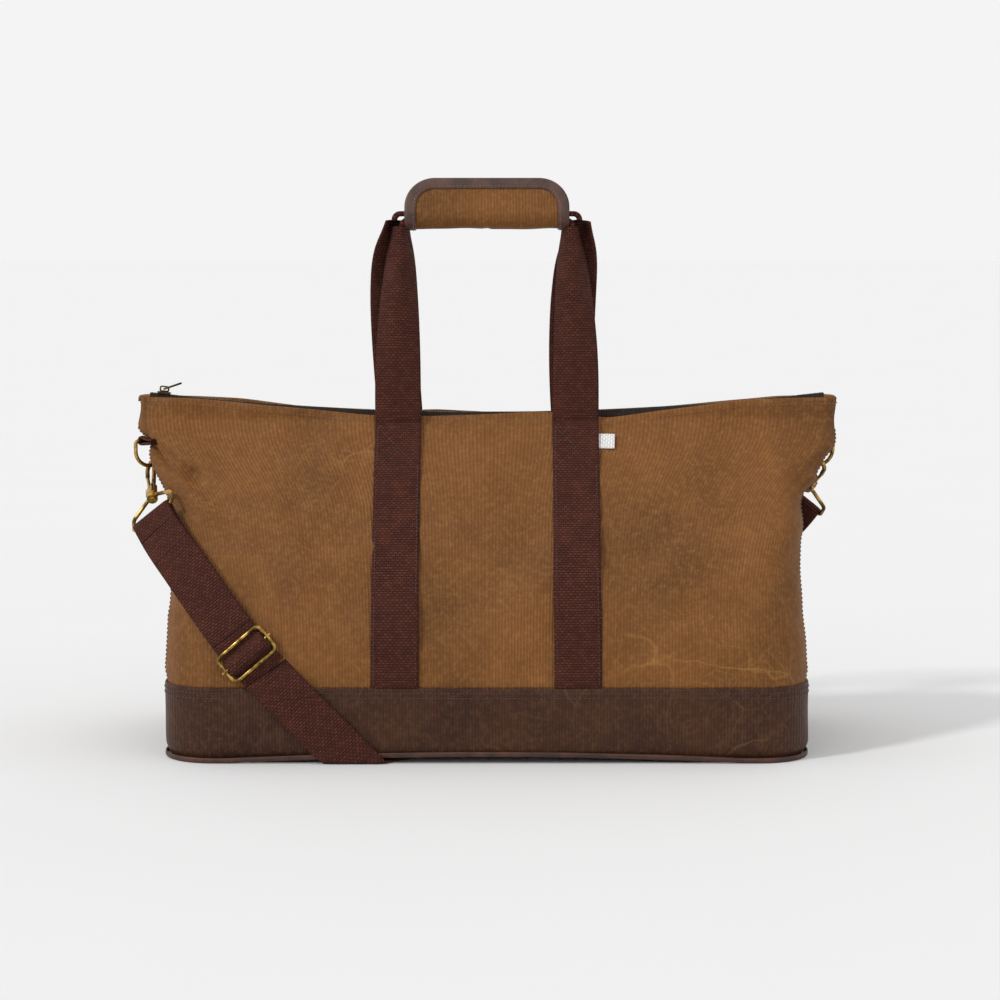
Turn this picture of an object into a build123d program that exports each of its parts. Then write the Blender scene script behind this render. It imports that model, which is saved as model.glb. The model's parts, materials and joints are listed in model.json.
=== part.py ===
"""Weekender bag: waxed canvas body, zipped mouth, wrapped webbing handles and a clip-on strap.

Frame: +X along the bag, +Y to the back, +Z up. The origin is the middle of the base, on the
surface that the bag stands on. Millimetres.
"""
from build123d import *
from math import asin, cos, pi, radians, sin, sqrt
import os

os.makedirs("parts", exist_ok=True)

# ---------------------------------------------------------------- driving sizes
# Body
base_length = 516.0      # outside of the canvas at the base
base_depth = 230.0
base_corner = 40.0       # plan radius of the base corners
wing_flare = 29.0        # how far each top corner stands out past the base
mouth_depth = 34.0       # outside of the two hems
hem_height = 268.0       # hem at the middle of the bag
hem_rise = 17.0          # how much higher the hem is at its ends
lean_height = 70.0       # front and back start to lean in here
flare_drop = 73.0        # below the hem, where the ends start to flare out
wing_drop = 8.0          # below the hem, where the flare is complete
gusset_tuck = 47.0       # how far the end panels fold in at their deepest
tuck_drop = 32.0         # below the hem, where that fold is deepest
top_tuck = 12.0          # fold left at the top of the end panels
base_tuck = 1.5          # crease that the fold leaves down to the base
canvas = 2.0             # waxed canvas wall
lining = 1.0
facing = 1.2             # turned-in hem behind the wall
facing_height = 22.0
seam = 0.15              # room between layers that are sewn together
# Base
band_height = 60.0
band_cover = 1.2         # band canvas, outside the wall
floor_canvas = 2.4       # bottom panel
board = 2.5              # stiffening board on the bottom panel
board_margin = 6.0
arch_rise = 5.2          # the loaded base bows up in the middle
arch_half = 205.0        # and is flat on the ground past here
piping = 3.0             # binding along the bottom seam
piping_height = 5.0
# Webbing
web_width = 38.0
web = 2.2                # webbing thickness
gap = 0.3                # room between pieces that are not sewn together
handle_spread = 146.0    # between the centres of one handle's two legs
# Grip
grip_length = 134.0
grip_bottom = 425.0
grip_top = 466.0
grip_radius = 12.0       # of the lower, filled part
grip_skin = 1.6
grip_lip = 3.2           # half thickness where the two free edges meet
grip_corner = 24.0
run_room = 0.78          # beside the handles' webbing, folded lengthwise in the grip
leg_room = 1.5           # between the grip's ends and the handles' legs
flat_share = 0.35        # of each leg stays flat before it twists into the grip
binding = 1.2
binding_width = 8.5
# Zip
tooth_half = 3.2         # from the middle of the chain to the back of a tooth row
tooth_gap = 0.9          # from the middle of the chain to a tooth row's front
tooth_height = 2.6
zip_lift = 4.0           # the chain stands this far above the hem
tape = 0.8
zip_margin = 29.0        # from the opening part of the chain to the wings' tips
zip_end = 22.0           # fixed length of chain past each end of it
slider_length = 11.0
slider_width = 9.0
slider_plate = 1.2
running = 0.3            # room between the slider and the teeth
# Strap hardware
ring_wire = 3.2
ring_width = 25.0        # inside, along its bar
ring_height = 21.0       # bar centre to bow centre
hook_wire = 3.6
hook_reach = 44.0        # swivel to the ring's wire
hook_span = 12.0         # between the two legs, centre to centre
loop_wire = 3.2
loop_room = 0.6          # between the webbing's edge and the loop
loop_reach = 26.0        # swivel to the strap bar
collar_radius = 4.5
collar_height = 6.0
stem_radius = 2.0
stem_clear = 0.08
hook_seat = 1.8          # ring's wire above the middle of the hook's bend
gate_drop = 8.0          # hook's tip below the middle of its bend
gate_wire = 2.8
pin_x = 3.0              # gate pin, from the hook's middle line
pin_y = 11.0             # and above the swivel
pin_radius = 0.9
cheek = 0.9              # the hinge cheeks stand this far past the hook's wire
pin_clear = 0.06
ear = 2.4                # from the gate pin to the edge of the ears that hold it
stem_head = 1.4          # riveted head that holds the swivel on, its thickness
head_flange = 1.2        # and how far it stands past the stem
tab_width = 21.0         # between the bends of the ring
tab_height = 16.0
ring_drop = 18.0         # the ring's bar, below the hem
label_drop = 17.0        # the side label's middle, below the hem
ring_inset = 6.24        # and in from the end of the wing
# Shoulder strap
adjuster_length = 27.0   # along the strap
adjuster_wire = 3.2
adjuster_height = 88.0
adjuster_x = 190.0
bar_radius = 1.2
adjuster_room = 0.8      # beside the webbing
hump_half = 22.0         # the webbing humps over the adjuster's bar this far each way
hump_step = 2.6          # room each side of the frame's wires as it passes them
hump_flat = 2.4          # half the flat stretch over the bar
fold_x = 104.0           # where the strap turns under the base
fold_radius = 3.0        # of the webbing's middle as it turns
# Zip slider
bail_length = 8.0
bail_height = 5.0
bail_wall = 1.2
bail_width = 1.6
pull_length = 16.0
pull_width = 9.0
pull_wire = 1.6
pull_rest = 25.0         # the pull lies this much above the chain
# Side label
label_width = 13.0
label_height = 14.0
label_thick = 0.8
label_z = hem_height - label_drop

# ---------------------------------------------------------------- derived sizes
wing_length = base_length + 2 * wing_flare
flare_height = hem_height - flare_drop
wing_height = hem_height - wing_drop
tuck_height = hem_height - tuck_drop
zip_half = wing_length / 2 - zip_margin
run_width = 2 * (sqrt((grip_radius - grip_skin) ** 2 - (2 * web + gap) ** 2) - run_room)
hem_top = hem_height + hem_rise + 2
chain_height = hem_height + zip_lift
arc_radius = ((wing_length / 2) ** 2 + hem_rise**2) / (2 * hem_rise)
outside = base_depth / 2 + band_cover + piping
handle_x = handle_spread / 2
strap_run = fold_x / (outside + gap)                  # sideways travel per mm under the base
level_cut = web_width * sqrt(1 + strap_run**2)       # strap's width along X


def ease(share):
    """Smooth step from 0 to 1."""
    share = min(max(share, 0.0), 1.0)
    return share * share * (3 - 2 * share)


def half_length(z):
    return base_length / 2 + (wing_length - base_length) / 2 * ease(
        (z - flare_height) / (wing_height - flare_height))


def half_depth(z):
    lean = min(max(0.0, (z - lean_height) / (hem_height - lean_height)), 1.0)
    return mouth_depth / 2 + (base_depth - mouth_depth) / 2 * cos(lean * pi / 2)


def tuck(z):
    if z < tuck_height:
        deeper = (gusset_tuck - base_tuck) * ease((z - band_height) / (tuck_height - band_height))
        return base_tuck + deeper
    return gusset_tuck + (top_tuck - gusset_tuck) * (z - tuck_height) / (hem_top - tuck_height)


def corner(z):
    return base_corner * half_depth(z) / (base_depth / 2)


def hem_z(x):
    """Height of the hem's arc at x."""
    return hem_height + arc_radius - sqrt(arc_radius**2 - x * x)


def levels(low, high, count=8):
    return [low + (high - low) * i / count for i in range(count + 1)]


def write(part, name):
    part.label = name
    export_step(part, f"parts/{name}.step")
    print(f"{name:24s} {len(part.solids())} solids  {part.volume:10.1f} mm3")


def write_pair(part, name):
    """A left piece, and its right twin turned half round the upright axis."""
    write(part, f"{name}_left")
    write(part.rotate(Axis.Z, 180), f"{name}_right")


# ---------------------------------------------------------------- cutters
def above_hem(drop=0.0):
    """Everything above the hem's arc, lowered by drop."""
    end = base_length
    side = hem_z(end) - drop
    with BuildPart() as cutter:
        with BuildSketch(Plane.XZ):
            with BuildLine():
                ThreePointArc((-end, side), (0, hem_height - drop), (end, side))
                Polyline((end, side), (end, 2 * hem_height), (-end, 2 * hem_height),
                         (-end, side))
            make_face()
        extrude(amount=base_depth, both=True)
    return cutter.part


def below_arch(lift=0.0):
    """Everything below the base's bowed underside, raised by lift."""
    end = wing_length
    with BuildPart() as cutter:
        with BuildSketch(Plane.XZ):
            with BuildLine():
                Line((-end, lift), (-arch_half, lift))
                ThreePointArc((-arch_half, lift), (0, lift + arch_rise), (arch_half, lift))
                Polyline((arch_half, lift), (end, lift), (end, -band_height),
                         (-end, -band_height), (-end, lift))
            make_face()
        extrude(amount=base_depth, both=True)
    return cutter.part


# ---------------------------------------------------------------- walls
def front_plan(z, outer, inner):
    """Front wall at one height, between two depths inside the canvas's outer face."""
    a, b, r = half_length(z), half_depth(z), corner(z)
    with BuildSketch(Plane.XY.offset(z)) as plan:
        with BuildLine():
            for depth in (outer, inner):
                Line((-a + r, -b + depth), (a - r, -b + depth))
                CenterArc((a - r, -b + r), r - depth, -90, 90)
                CenterArc((-a + r, -b + r), r - depth, 180, 90)
            for side in (-1, 1):
                Line((side * (a - outer), -b + r), (side * (a - inner), -b + r))
        make_face()
    return plan.sketch


def end_plan(z, outer, inner):
    """Right end wall at one height, folded in at its middle."""
    a, b, r, fold = half_length(z), half_depth(z), corner(z), tuck(z)
    with BuildSketch(Plane.XY.offset(z)) as plan:
        with BuildLine():
            Polyline((a - outer, -b + r), (a - fold - outer, 0), (a - outer, b - r),
                     (a - inner, b - r), (a - fold - inner, 0), (a - inner, -b + r), close=True)
        make_face()
    return plan.sketch


def wall(plan, outer, inner, heights, hem_drop=0.0, lift=floor_canvas):
    """A wall piece lofted through its plans, trimmed by the hem's arc and the base's arch."""
    with BuildPart() as piece:
        loft([plan(z, outer, inner) for z in heights], ruled=True)
        if heights[-1] > hem_height - facing_height - hem_rise:
            add(above_hem(hem_drop), mode=Mode.SUBTRACT)
        if heights[0] < arch_rise:
            add(below_arch(lift), mode=Mode.SUBTRACT)
    return piece.part


tall = [0.0] + levels(band_height, hem_height) + [hem_top]


def outline(z, depth):
    """The whole plan outline at one height, moved in by depth."""
    a, b, r = half_length(z) - depth, half_depth(z) - depth, corner(z) - depth
    with BuildSketch(Plane.XY.offset(z)) as plan:
        RectangleRounded(2 * a, 2 * b, r)
    return plan.sketch


def make_walls():
    """Front, back and end walls, their lining and the turned-in hems."""
    front = wall(front_plan, 0, canvas, tall)
    end = wall(end_plan, 0, canvas, tall)
    outer = {"front": front, "end_left": end.mirror(Plane.YZ)}
    write(front, "front_panel")
    write(front.mirror(Plane.XZ), "back_panel")
    write_pair(outer["end_left"], "end_panel")
    lining_lift = floor_canvas + board
    near, far = canvas + seam, canvas + seam + lining
    front = wall(front_plan, near, far, tall, facing_height, lining_lift)
    end = wall(end_plan, near, far, tall, facing_height, lining_lift)
    write(front, "lining_front")
    write(front.mirror(Plane.XZ), "lining_back")
    write_pair(end.mirror(Plane.YZ), "lining_end")
    with BuildPart() as front_facing:
        add(wall(front_plan, canvas + seam, canvas + seam + facing, tall))
        add(above_hem(facing_height - seam), mode=Mode.INTERSECT)
    write(front_facing.part, "hem_facing_front")
    write(front_facing.part.mirror(Plane.XZ), "hem_facing_back")
    return outer


# ---------------------------------------------------------------- base
def ring_wall(outer, inner, height, lift):
    """A low wall all the way round the base, between two depths, arched underneath."""
    with BuildPart() as piece:
        extrude(outline(0, outer), amount=height)
        extrude(outline(0, inner), amount=height, mode=Mode.SUBTRACT)
        add(below_arch(lift), mode=Mode.SUBTRACT)
    return piece.part


def arched_plate(margin, low, thick):
    """A plate on the arched base: everything between two arches, inside the outline."""
    with BuildPart() as piece:
        extrude(outline(0, margin), amount=band_height)
        add(below_arch(low), mode=Mode.SUBTRACT)
        add(below_arch(low + thick), mode=Mode.INTERSECT)
    return piece.part


def make_base():
    write(ring_wall(-band_cover, 0, band_height, 0), "base_band")
    with BuildPart() as binding_strip:
        add(ring_wall(-band_cover - piping, -band_cover, piping_height + arch_rise, 0))
        add(below_arch(piping_height), mode=Mode.INTERSECT)
    write(binding_strip.part, "base_piping")
    write(arched_plate(0, 0, floor_canvas), "base_panel")
    write(arched_plate(board_margin, floor_canvas, board), "base_board")


# ---------------------------------------------------------------- ribbons
def ribbon(stations):
    """Flat webbing lofted through stations of (centre, width direction, face, width)."""
    with BuildPart() as piece:
        for centre, across, face, width in stations:
            with BuildSketch(Plane(origin=centre, x_dir=across, z_dir=across.cross(face))):
                Rectangle(width, web)
        loft(ruled=True)
    return piece.part


def front_y(z, height):
    """Y of a point that stands this far in front of the front wall."""
    return -(half_depth(z) + height)


# ---------------------------------------------------------------- handles
def make_handles():
    """Each handle has two legs, sewn up the wall and free above it."""
    with BuildPart() as sewn:
        for z in [band_height + gap] + tall[2:]:
            with BuildSketch(Plane.XY.offset(z)):
                with Locations((0, front_y(z, web / 2))):
                    Rectangle(web_width, web)
        loft(ruled=True)
        add(above_hem(2 * web), mode=Mode.SUBTRACT)
    for side, name in ((-1, "left"), (1, "right")):
        leg = sewn.part.moved(Location((side * handle_x, 0, 0)))
        write(leg, f"handle_sewn_front_{name}")
        write(leg.rotate(Axis.Z, 180), f"handle_sewn_back_{'right' if side < 0 else 'left'}")


def run_low(row):
    """Underside of a handle's run inside the grip: the back one lies on the front one."""
    return grip_bottom + grip_radius - 2 * web - gap / 2 + row * (2 * web + gap)


def run_end(row):
    """Outer end of a handle's run, which the legs of that handle hang from."""
    return grip_length / 2 + leg_room + 2 * web + row * (2 * web + 3 * gap)


def free_leg(side, row):
    """A free leg turns a quarter, and is folded in half lengthwise, on its way up to the grip."""
    foot = hem_z(web_width / 2) - 2 * web + gap
    top = run_low(row)
    twist_start = foot + flat_share * (top - foot)
    head_x = run_end(row) - web
    foot_y = half_depth(foot) + web / 2
    with BuildPart() as leg:
        for z in levels(foot, top, 6):
            rise = (z - foot) / (top - foot)
            turn = ease((z - twist_start) / (top - twist_start))
            x = handle_x + (head_x - handle_x) * ease(rise)
            y = foot_y * (1 - ease(rise)) * (1 if row else -1)
            spin = -90 * turn * side
            with BuildSketch(Plane.XY.offset(z)):
                with Locations(Location((side * x, y), spin)):
                    Rectangle(web_width + (run_width - web_width) * turn, web * (1 + turn))
        loft(ruled=True)
    return leg.part


def grip_section(shrink):
    """Teardrop end view of the wrap: a round lower part rising to two edges that meet."""
    r = grip_radius - shrink
    lip = grip_lip - shrink
    centre = grip_bottom + grip_radius
    drop = grip_top - centre - max(shrink, 0)
    lean = asin((r - lip) / sqrt(drop * drop + (r - lip) ** 2)) / 2
    with BuildSketch(Plane.YZ.offset(-grip_length / 2)) as end:
        with BuildLine():
            tangent = (r * cos(lean), centre + r * sin(lean))
            ThreePointArc((-tangent[0], tangent[1]), (0, centre - r), tangent)
            Polyline(tangent, (lip, centre + drop), (-lip, centre + drop),
                     (-tangent[0], tangent[1]))
        make_face()
    return end.sketch


def grip_front(margin, low):
    """Front view of the wrap, its upper corners rounded, moved in by margin."""
    half = grip_length / 2 - margin
    top = grip_top + binding - margin
    r = grip_corner - margin
    with BuildSketch(Plane.XZ) as view:
        with BuildLine():
            Polyline((-half, top - r), (-half, low), (half, low), (half, top - r))
            CenterArc((half - r, top - r), r, 0, 90)
            Line((half - r, top), (-half + r, top))
            CenterArc((-half + r, top - r), r, 90, 90)
        make_face()
    return view.sketch


def make_grip():
    below = grip_bottom - binding_width
    with BuildPart() as wrap:
        extrude(grip_section(0), amount=grip_length)
        extrude(grip_section(grip_skin), amount=grip_length, mode=Mode.SUBTRACT)
        extrude(grip_front(0, below), amount=grip_length, both=True, mode=Mode.INTERSECT)
    write(wrap.part, "grip_wrap")
    with BuildPart() as edge:
        extrude(grip_section(-binding), amount=grip_length)
        extrude(grip_section(0), amount=grip_length, mode=Mode.SUBTRACT)
        extrude(grip_front(0, below), amount=grip_length, both=True, mode=Mode.INTERSECT)
        extrude(grip_front(binding_width, below - 1), amount=grip_length, both=True,
                mode=Mode.SUBTRACT)
    write(edge.part, "grip_binding")
    for row, name in ((0, "front"), (1, "back")):
        with BuildPart() as run:
            with BuildSketch(Plane.XY.offset(run_low(row))):
                Rectangle(2 * run_end(row), run_width)
            extrude(amount=2 * web)
        write(run.part, f"handle_run_{name}")
        for side, end in ((-1, "left"), (1, "right")):
            write(free_leg(side, row), f"handle_leg_{name}_{end}")
    for side, name in ((-1, "hook"), (1, "loop")):
        with BuildPart() as strip:
            extrude(grip_section(grip_skin + seam), amount=grip_length)
            with BuildSketch(Plane.XY.offset(grip_top - binding_width - 2 * web)):
                with Locations((0, side * (grip_radius + seam))):
                    Rectangle(grip_length - 2 * grip_corner, 2 * grip_radius)
            extrude(amount=binding_width, mode=Mode.INTERSECT)
        write(strip.part, f"grip_{name}_tape")


# ---------------------------------------------------------------- zip
def chain_z(x, lift=0.0):
    """Height of the chain's arc at x."""
    return chain_height + lift + arc_radius - sqrt(arc_radius**2 - x * x)


def chain_plane(x):
    """Plane on the chain at x: its X runs along the chain, its Y across to the back."""
    lean = asin(x / arc_radius)
    return Plane(origin=(x, 0, chain_z(x)), x_dir=(cos(lean), 0, sin(lean)),
                 z_dir=(-sin(lean), 0, cos(lean)))


def tape_strip(side, start, end):
    """Woven zip tape, from the back of a row of teeth down to the hem facing."""
    inner = side * tooth_half
    outer = side * (mouth_depth / 2 - canvas - facing - gap)
    drop = -zip_lift - tape
    with BuildPart() as strip:
        for i in range(9):
            plane = chain_plane(start + (end - start) * i / 8)
            with BuildSketch(Plane(origin=plane.origin, x_dir=(0, 1, 0), z_dir=plane.x_dir)):
                with BuildLine():
                    Polyline((inner, -tape / 2), (outer, drop), (outer, drop + tape),
                             (inner, tape / 2), close=True)
                make_face()
        loft(ruled=True)
    return strip.part


def make_zip():
    for side, name in ((-1, "front"), (1, "back")):
        write(tape_strip(side, -zip_half, zip_half), f"zip_tape_{name}")
        write(chain_bar(side, -zip_half + gap, zip_half - gap), f"zip_teeth_{name}")
    for side, name in ((-1, "left"), (1, "right")):
        start, end = sorted((side * zip_half, side * (zip_half + zip_end)))
        with BuildPart() as fixed:
            for row in (-1, 1):
                add(chain_bar(row, start, end))
                add(tape_strip(row, start, end))
        write(fixed.part, f"zip_end_{name}")


def chain_bar(side, start, end):
    """One row of the chain as a toothed bar that follows the arc."""
    with BuildPart() as bar:
        for i in range(9):
            plane = chain_plane(start + (end - start) * i / 8)
            cut = Plane(origin=plane.origin, x_dir=(0, 1, 0), z_dir=plane.x_dir)
            with BuildSketch(cut):
                with Locations((side * (tooth_half + tooth_gap) / 2, 0)):
                    Rectangle(tooth_half - tooth_gap, tooth_height)
        loft(ruled=True)
    return bar.part


def make_slider():
    """Slider body with a bail on top, and the pull that swings in the bail."""
    plane = chain_plane(-(zip_half + zip_end / 2))
    inside = tooth_height / 2 + running
    thick = inside + slider_plate
    with BuildPart() as slider:
        for side in (-1, 1):
            with BuildSketch(plane.offset(side * inside)):
                RectangleRounded(slider_length, slider_width, slider_width / 4)
            extrude(amount=side * slider_plate)
        with BuildSketch(plane.offset(-inside)):
            Rectangle(slider_length / 3, 2 * (tooth_gap - running))
        extrude(amount=2 * inside)
        with BuildSketch(Plane(origin=plane.origin, x_dir=plane.x_dir, z_dir=-plane.y_dir)):
            with Locations((0, thick + bail_height / 2)):
                RectangleRounded(bail_length, bail_height, bail_height / 3)
                RectangleRounded(bail_length - 2 * bail_wall, bail_height - 2 * bail_wall,
                                 bail_height / 8, mode=Mode.SUBTRACT)
        extrude(amount=bail_width / 2, both=True)
    write(slider.part, "zip_slider")
    seat = plane.origin + plane.z_dir * (thick + bail_height / 2)
    lie = Plane(origin=seat, x_dir=plane.x_dir, z_dir=plane.z_dir).rotated((0, -pull_rest, 0))
    reach = pull_length - pull_wire
    half = pull_width / 2 - pull_wire / 2
    write(wire_loop(lie, [(0, -half), (reach, -half), (reach, half), (0, half)],
                    [pull_wire, half * 0.9, half * 0.9, pull_wire], pull_wire), "zip_pull")


# ---------------------------------------------------------------- wire work
def wire_loop(plane, points, radii, wire, close=True):
    """Round wire bent along a filleted outline drawn on a plane."""
    with BuildPart() as loop:
        with BuildLine(plane) as path:
            FilletPolyline(*points, radius=radii, close=close)
        with BuildSketch(Plane(origin=path.line @ 0, z_dir=path.line % 0)):
            Circle(wire / 2)
        sweep(path=path.line)
    return loop.part


# Left hardware; the right side is the same, turned half round the upright axis.
ring_along = Vector(0.82, 0.57, 0).normalized()
ring_z = hem_height - ring_drop
ring_top = Vector(ring_inset - half_length(ring_z), -9.5, ring_z)
hook_up = Vector(-0.13, 0.87, 0.53).normalized()
swivel = ring_top - Vector(0, 0, ring_height) - hook_up * hook_reach
hook_face = (Vector(0.80, 0.30, -0.45) - hook_up * hook_up.dot(Vector(0.80, 0.30, -0.45))).normalized()
hook_plane = Plane(origin=swivel, x_dir=hook_up.cross(hook_face), z_dir=hook_face)
bar_guess = Vector(0.756, -0.254, 0.603)
bar_along = (bar_guess - hook_up * hook_up.dot(bar_guess)).normalized()
loop_plane = Plane(origin=swivel, x_dir=bar_along, z_dir=bar_along.cross(hook_up))
bar_centre = swivel - hook_up * loop_reach


def make_ring():
    plane = Plane(origin=ring_top, x_dir=ring_along, z_dir=ring_along.cross(Vector(0, 0, 1)))
    half = (ring_width + ring_wire) / 2
    write_pair(wire_loop(plane, [(half, 0), (half, -ring_height), (-half, -ring_height),
                                 (-half, 0)],
                         [ring_wire, 0.9 * half, 0.9 * half, ring_wire], ring_wire), "d_ring")
    eye = ring_wire / 2 + gap
    side = Plane(origin=ring_top, x_dir=plane.z_dir, z_dir=ring_along)
    with BuildPart() as tab:
        with BuildSketch(side):
            Circle(eye + web)
            with BuildLine():
                Polyline((0, eye + web), (tab_height, web), (tab_height, -web), (0, -eye - web),
                         close=True)
            make_face()
            Circle(eye, mode=Mode.SUBTRACT)
        extrude(amount=tab_width / 2, both=True)
        for sewn_to in (walls["end_left"], walls["front"]):
            add(sewn_to, mode=Mode.SUBTRACT)
    with BuildPart() as outside_tab:
        add(tab.part.solids().sort_by(SortBy.VOLUME)[-1])
    write_pair(outside_tab.part, "ring_tab")


def make_hook():
    """Snap hook: a bent hook with its stem, a sprung gate on a pin, and a swivelling strap loop."""
    half = hook_span / 2
    crown = hook_reach - hook_seat
    tip = crown - gate_drop
    base_low = collar_height / 2 + gap
    with BuildPart() as hook:
        add(wire_loop(Plane.XY, [(-half / 3, base_low + 2), (-half, crown + half),
                                 (half, crown + half), (half, tip)],
                      half * 0.95, hook_wire, close=False))
        with BuildSketch(Plane.XZ.offset(-base_low)):
            Circle(collar_radius - 0.5)
        extrude(amount=-3)
        with BuildSketch(Plane.XY):
            with BuildLine():
                Polyline((-half / 3 - hook_wire / 2, base_low + 1), (pin_x + ear, base_low + 1),
                         (pin_x + ear, pin_y + ear), (-half / 3 - hook_wire / 2, pin_y + ear),
                         close=True)
            make_face()
        extrude(amount=hook_wire / 2 + cheek, both=True)
        with BuildSketch(Plane.XY):
            with Locations((pin_x + ear / 2, pin_y + ear / 2)):
                Rectangle(3 * ear, 3 * ear)
        extrude(amount=gate_wire / 2 + gap, both=True, mode=Mode.SUBTRACT)
        with BuildSketch(Plane.XY):
            with Locations((pin_x, pin_y)):
                Circle(pin_radius)
        extrude(amount=hook_wire, both=True, mode=Mode.SUBTRACT)
        with BuildSketch(Plane.XZ.offset(collar_height / 2 + gap + stem_head)):
            Circle(stem_radius + head_flange)
        extrude(amount=-stem_head)
        with BuildSketch(Plane.XZ.offset(collar_height / 2 + gap)):
            Circle(stem_radius)
        extrude(amount=-collar_height - 3 * gap)
    write_pair(hook.part.moved(hook_plane.location), "snap_hook")
    with BuildPart() as pin:
        with BuildSketch(Plane.XY):
            with Locations((pin_x, pin_y)):
                Circle(pin_radius)
        extrude(amount=hook_wire / 2 + cheek, both=True)
    write_pair(pin.part.moved(hook_plane.location), "gate_pin")
    with BuildPart() as gate:
        with BuildSketch(Plane.XY):
            with Locations((pin_x, pin_y)):
                Circle(gate_wire / 2 + 0.6)
        extrude(amount=gate_wire / 2, both=True)
        run = Vector(half - pin_x, tip - gap - pin_y, 0)
        with BuildSketch(Plane(origin=(pin_x, pin_y, 0), z_dir=run)):
            Circle(gate_wire / 2)
        extrude(amount=run.length)
        with BuildSketch(Plane.XY):
            with Locations((pin_x, pin_y)):
                Circle(pin_radius + pin_clear)
        extrude(amount=gate_wire, both=True, mode=Mode.SUBTRACT)
    write_pair(gate.part.moved(hook_plane.location), "hook_gate")
    reach = web_width / 2 + loop_wire / 2 + loop_room
    shoulder = -0.45 * loop_reach
    with BuildPart() as loop:
        with BuildSketch(Plane.XZ.offset(-collar_height / 2)):
            Circle(collar_radius)
        extrude(amount=collar_height)
        add(wire_loop(Plane.XY, [(-collar_radius + 0.6, 0), (-reach, shoulder),
                                 (-reach, -loop_reach), (reach, -loop_reach),
                                 (reach, shoulder), (collar_radius - 0.6, 0)],
                      [1.6 * loop_wire, 0.75 * loop_wire, 0.75 * loop_wire, 1.6 * loop_wire],
                      loop_wire, close=False))
        with BuildSketch(Plane.XZ.offset(-collar_height)):
            Circle(stem_radius + stem_clear)
        extrude(amount=2 * collar_height, mode=Mode.SUBTRACT)
    write_pair(loop.part.moved(loop_plane.location), "swivel_loop")


# ---------------------------------------------------------------- shoulder strap
def path_x(z):
    """Where the strap's middle crosses a height on the front wall."""
    if z < adjuster_height:
        return -fold_x - (adjuster_x - fold_x) * z / adjuster_height
    share = (z - adjuster_height) / (bar_centre.Z - adjuster_height)
    return -adjuster_x + (bar_centre.X + adjuster_x) * share


def wall_normal(z):
    return Vector(0, -1, half_depth(z - 0.5) - half_depth(z + 0.5)).normalized()


def on_wall(z, height):
    """Strap station square to its path on the front wall, at a height above the wall."""
    face = wall_normal(z)
    centre = Vector(path_x(z), front_y(z, 0), z) + face * height
    along = Vector(path_x(z - 1) - path_x(z + 1), front_y(z - 1, 0) - front_y(z + 1, 0), -2)
    return centre, face.cross(along).normalized(), face, web_width


def floor_turn():
    """Stations down the band and round its foot, ending flat on the ground."""
    reach = outside + gap + web / 2
    rim = [(path_x(z), -reach, z, 0) for z in (band_height + 2, 2 * fold_radius + web)]
    for turn in (0, 30, 60, 90):
        y = -reach + fold_radius * (1 - cos(radians(turn)))
        z = web / 2 + fold_radius * (1 - sin(radians(turn)))
        rim.append((-fold_x, y, z, turn))
    return [(Vector(x, y, z), Vector(1, 0, 0),
             Vector(0, -cos(radians(turn)), -sin(radians(turn))), level_cut)
            for x, y, z, turn in rim]


def turned(station):
    """The same station at the back of the bag."""
    centre, across, face, width = station
    return centre.rotate(Axis.Z, 180), -across.rotate(Axis.Z, 180), face.rotate(Axis.Z, 180), width


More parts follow.
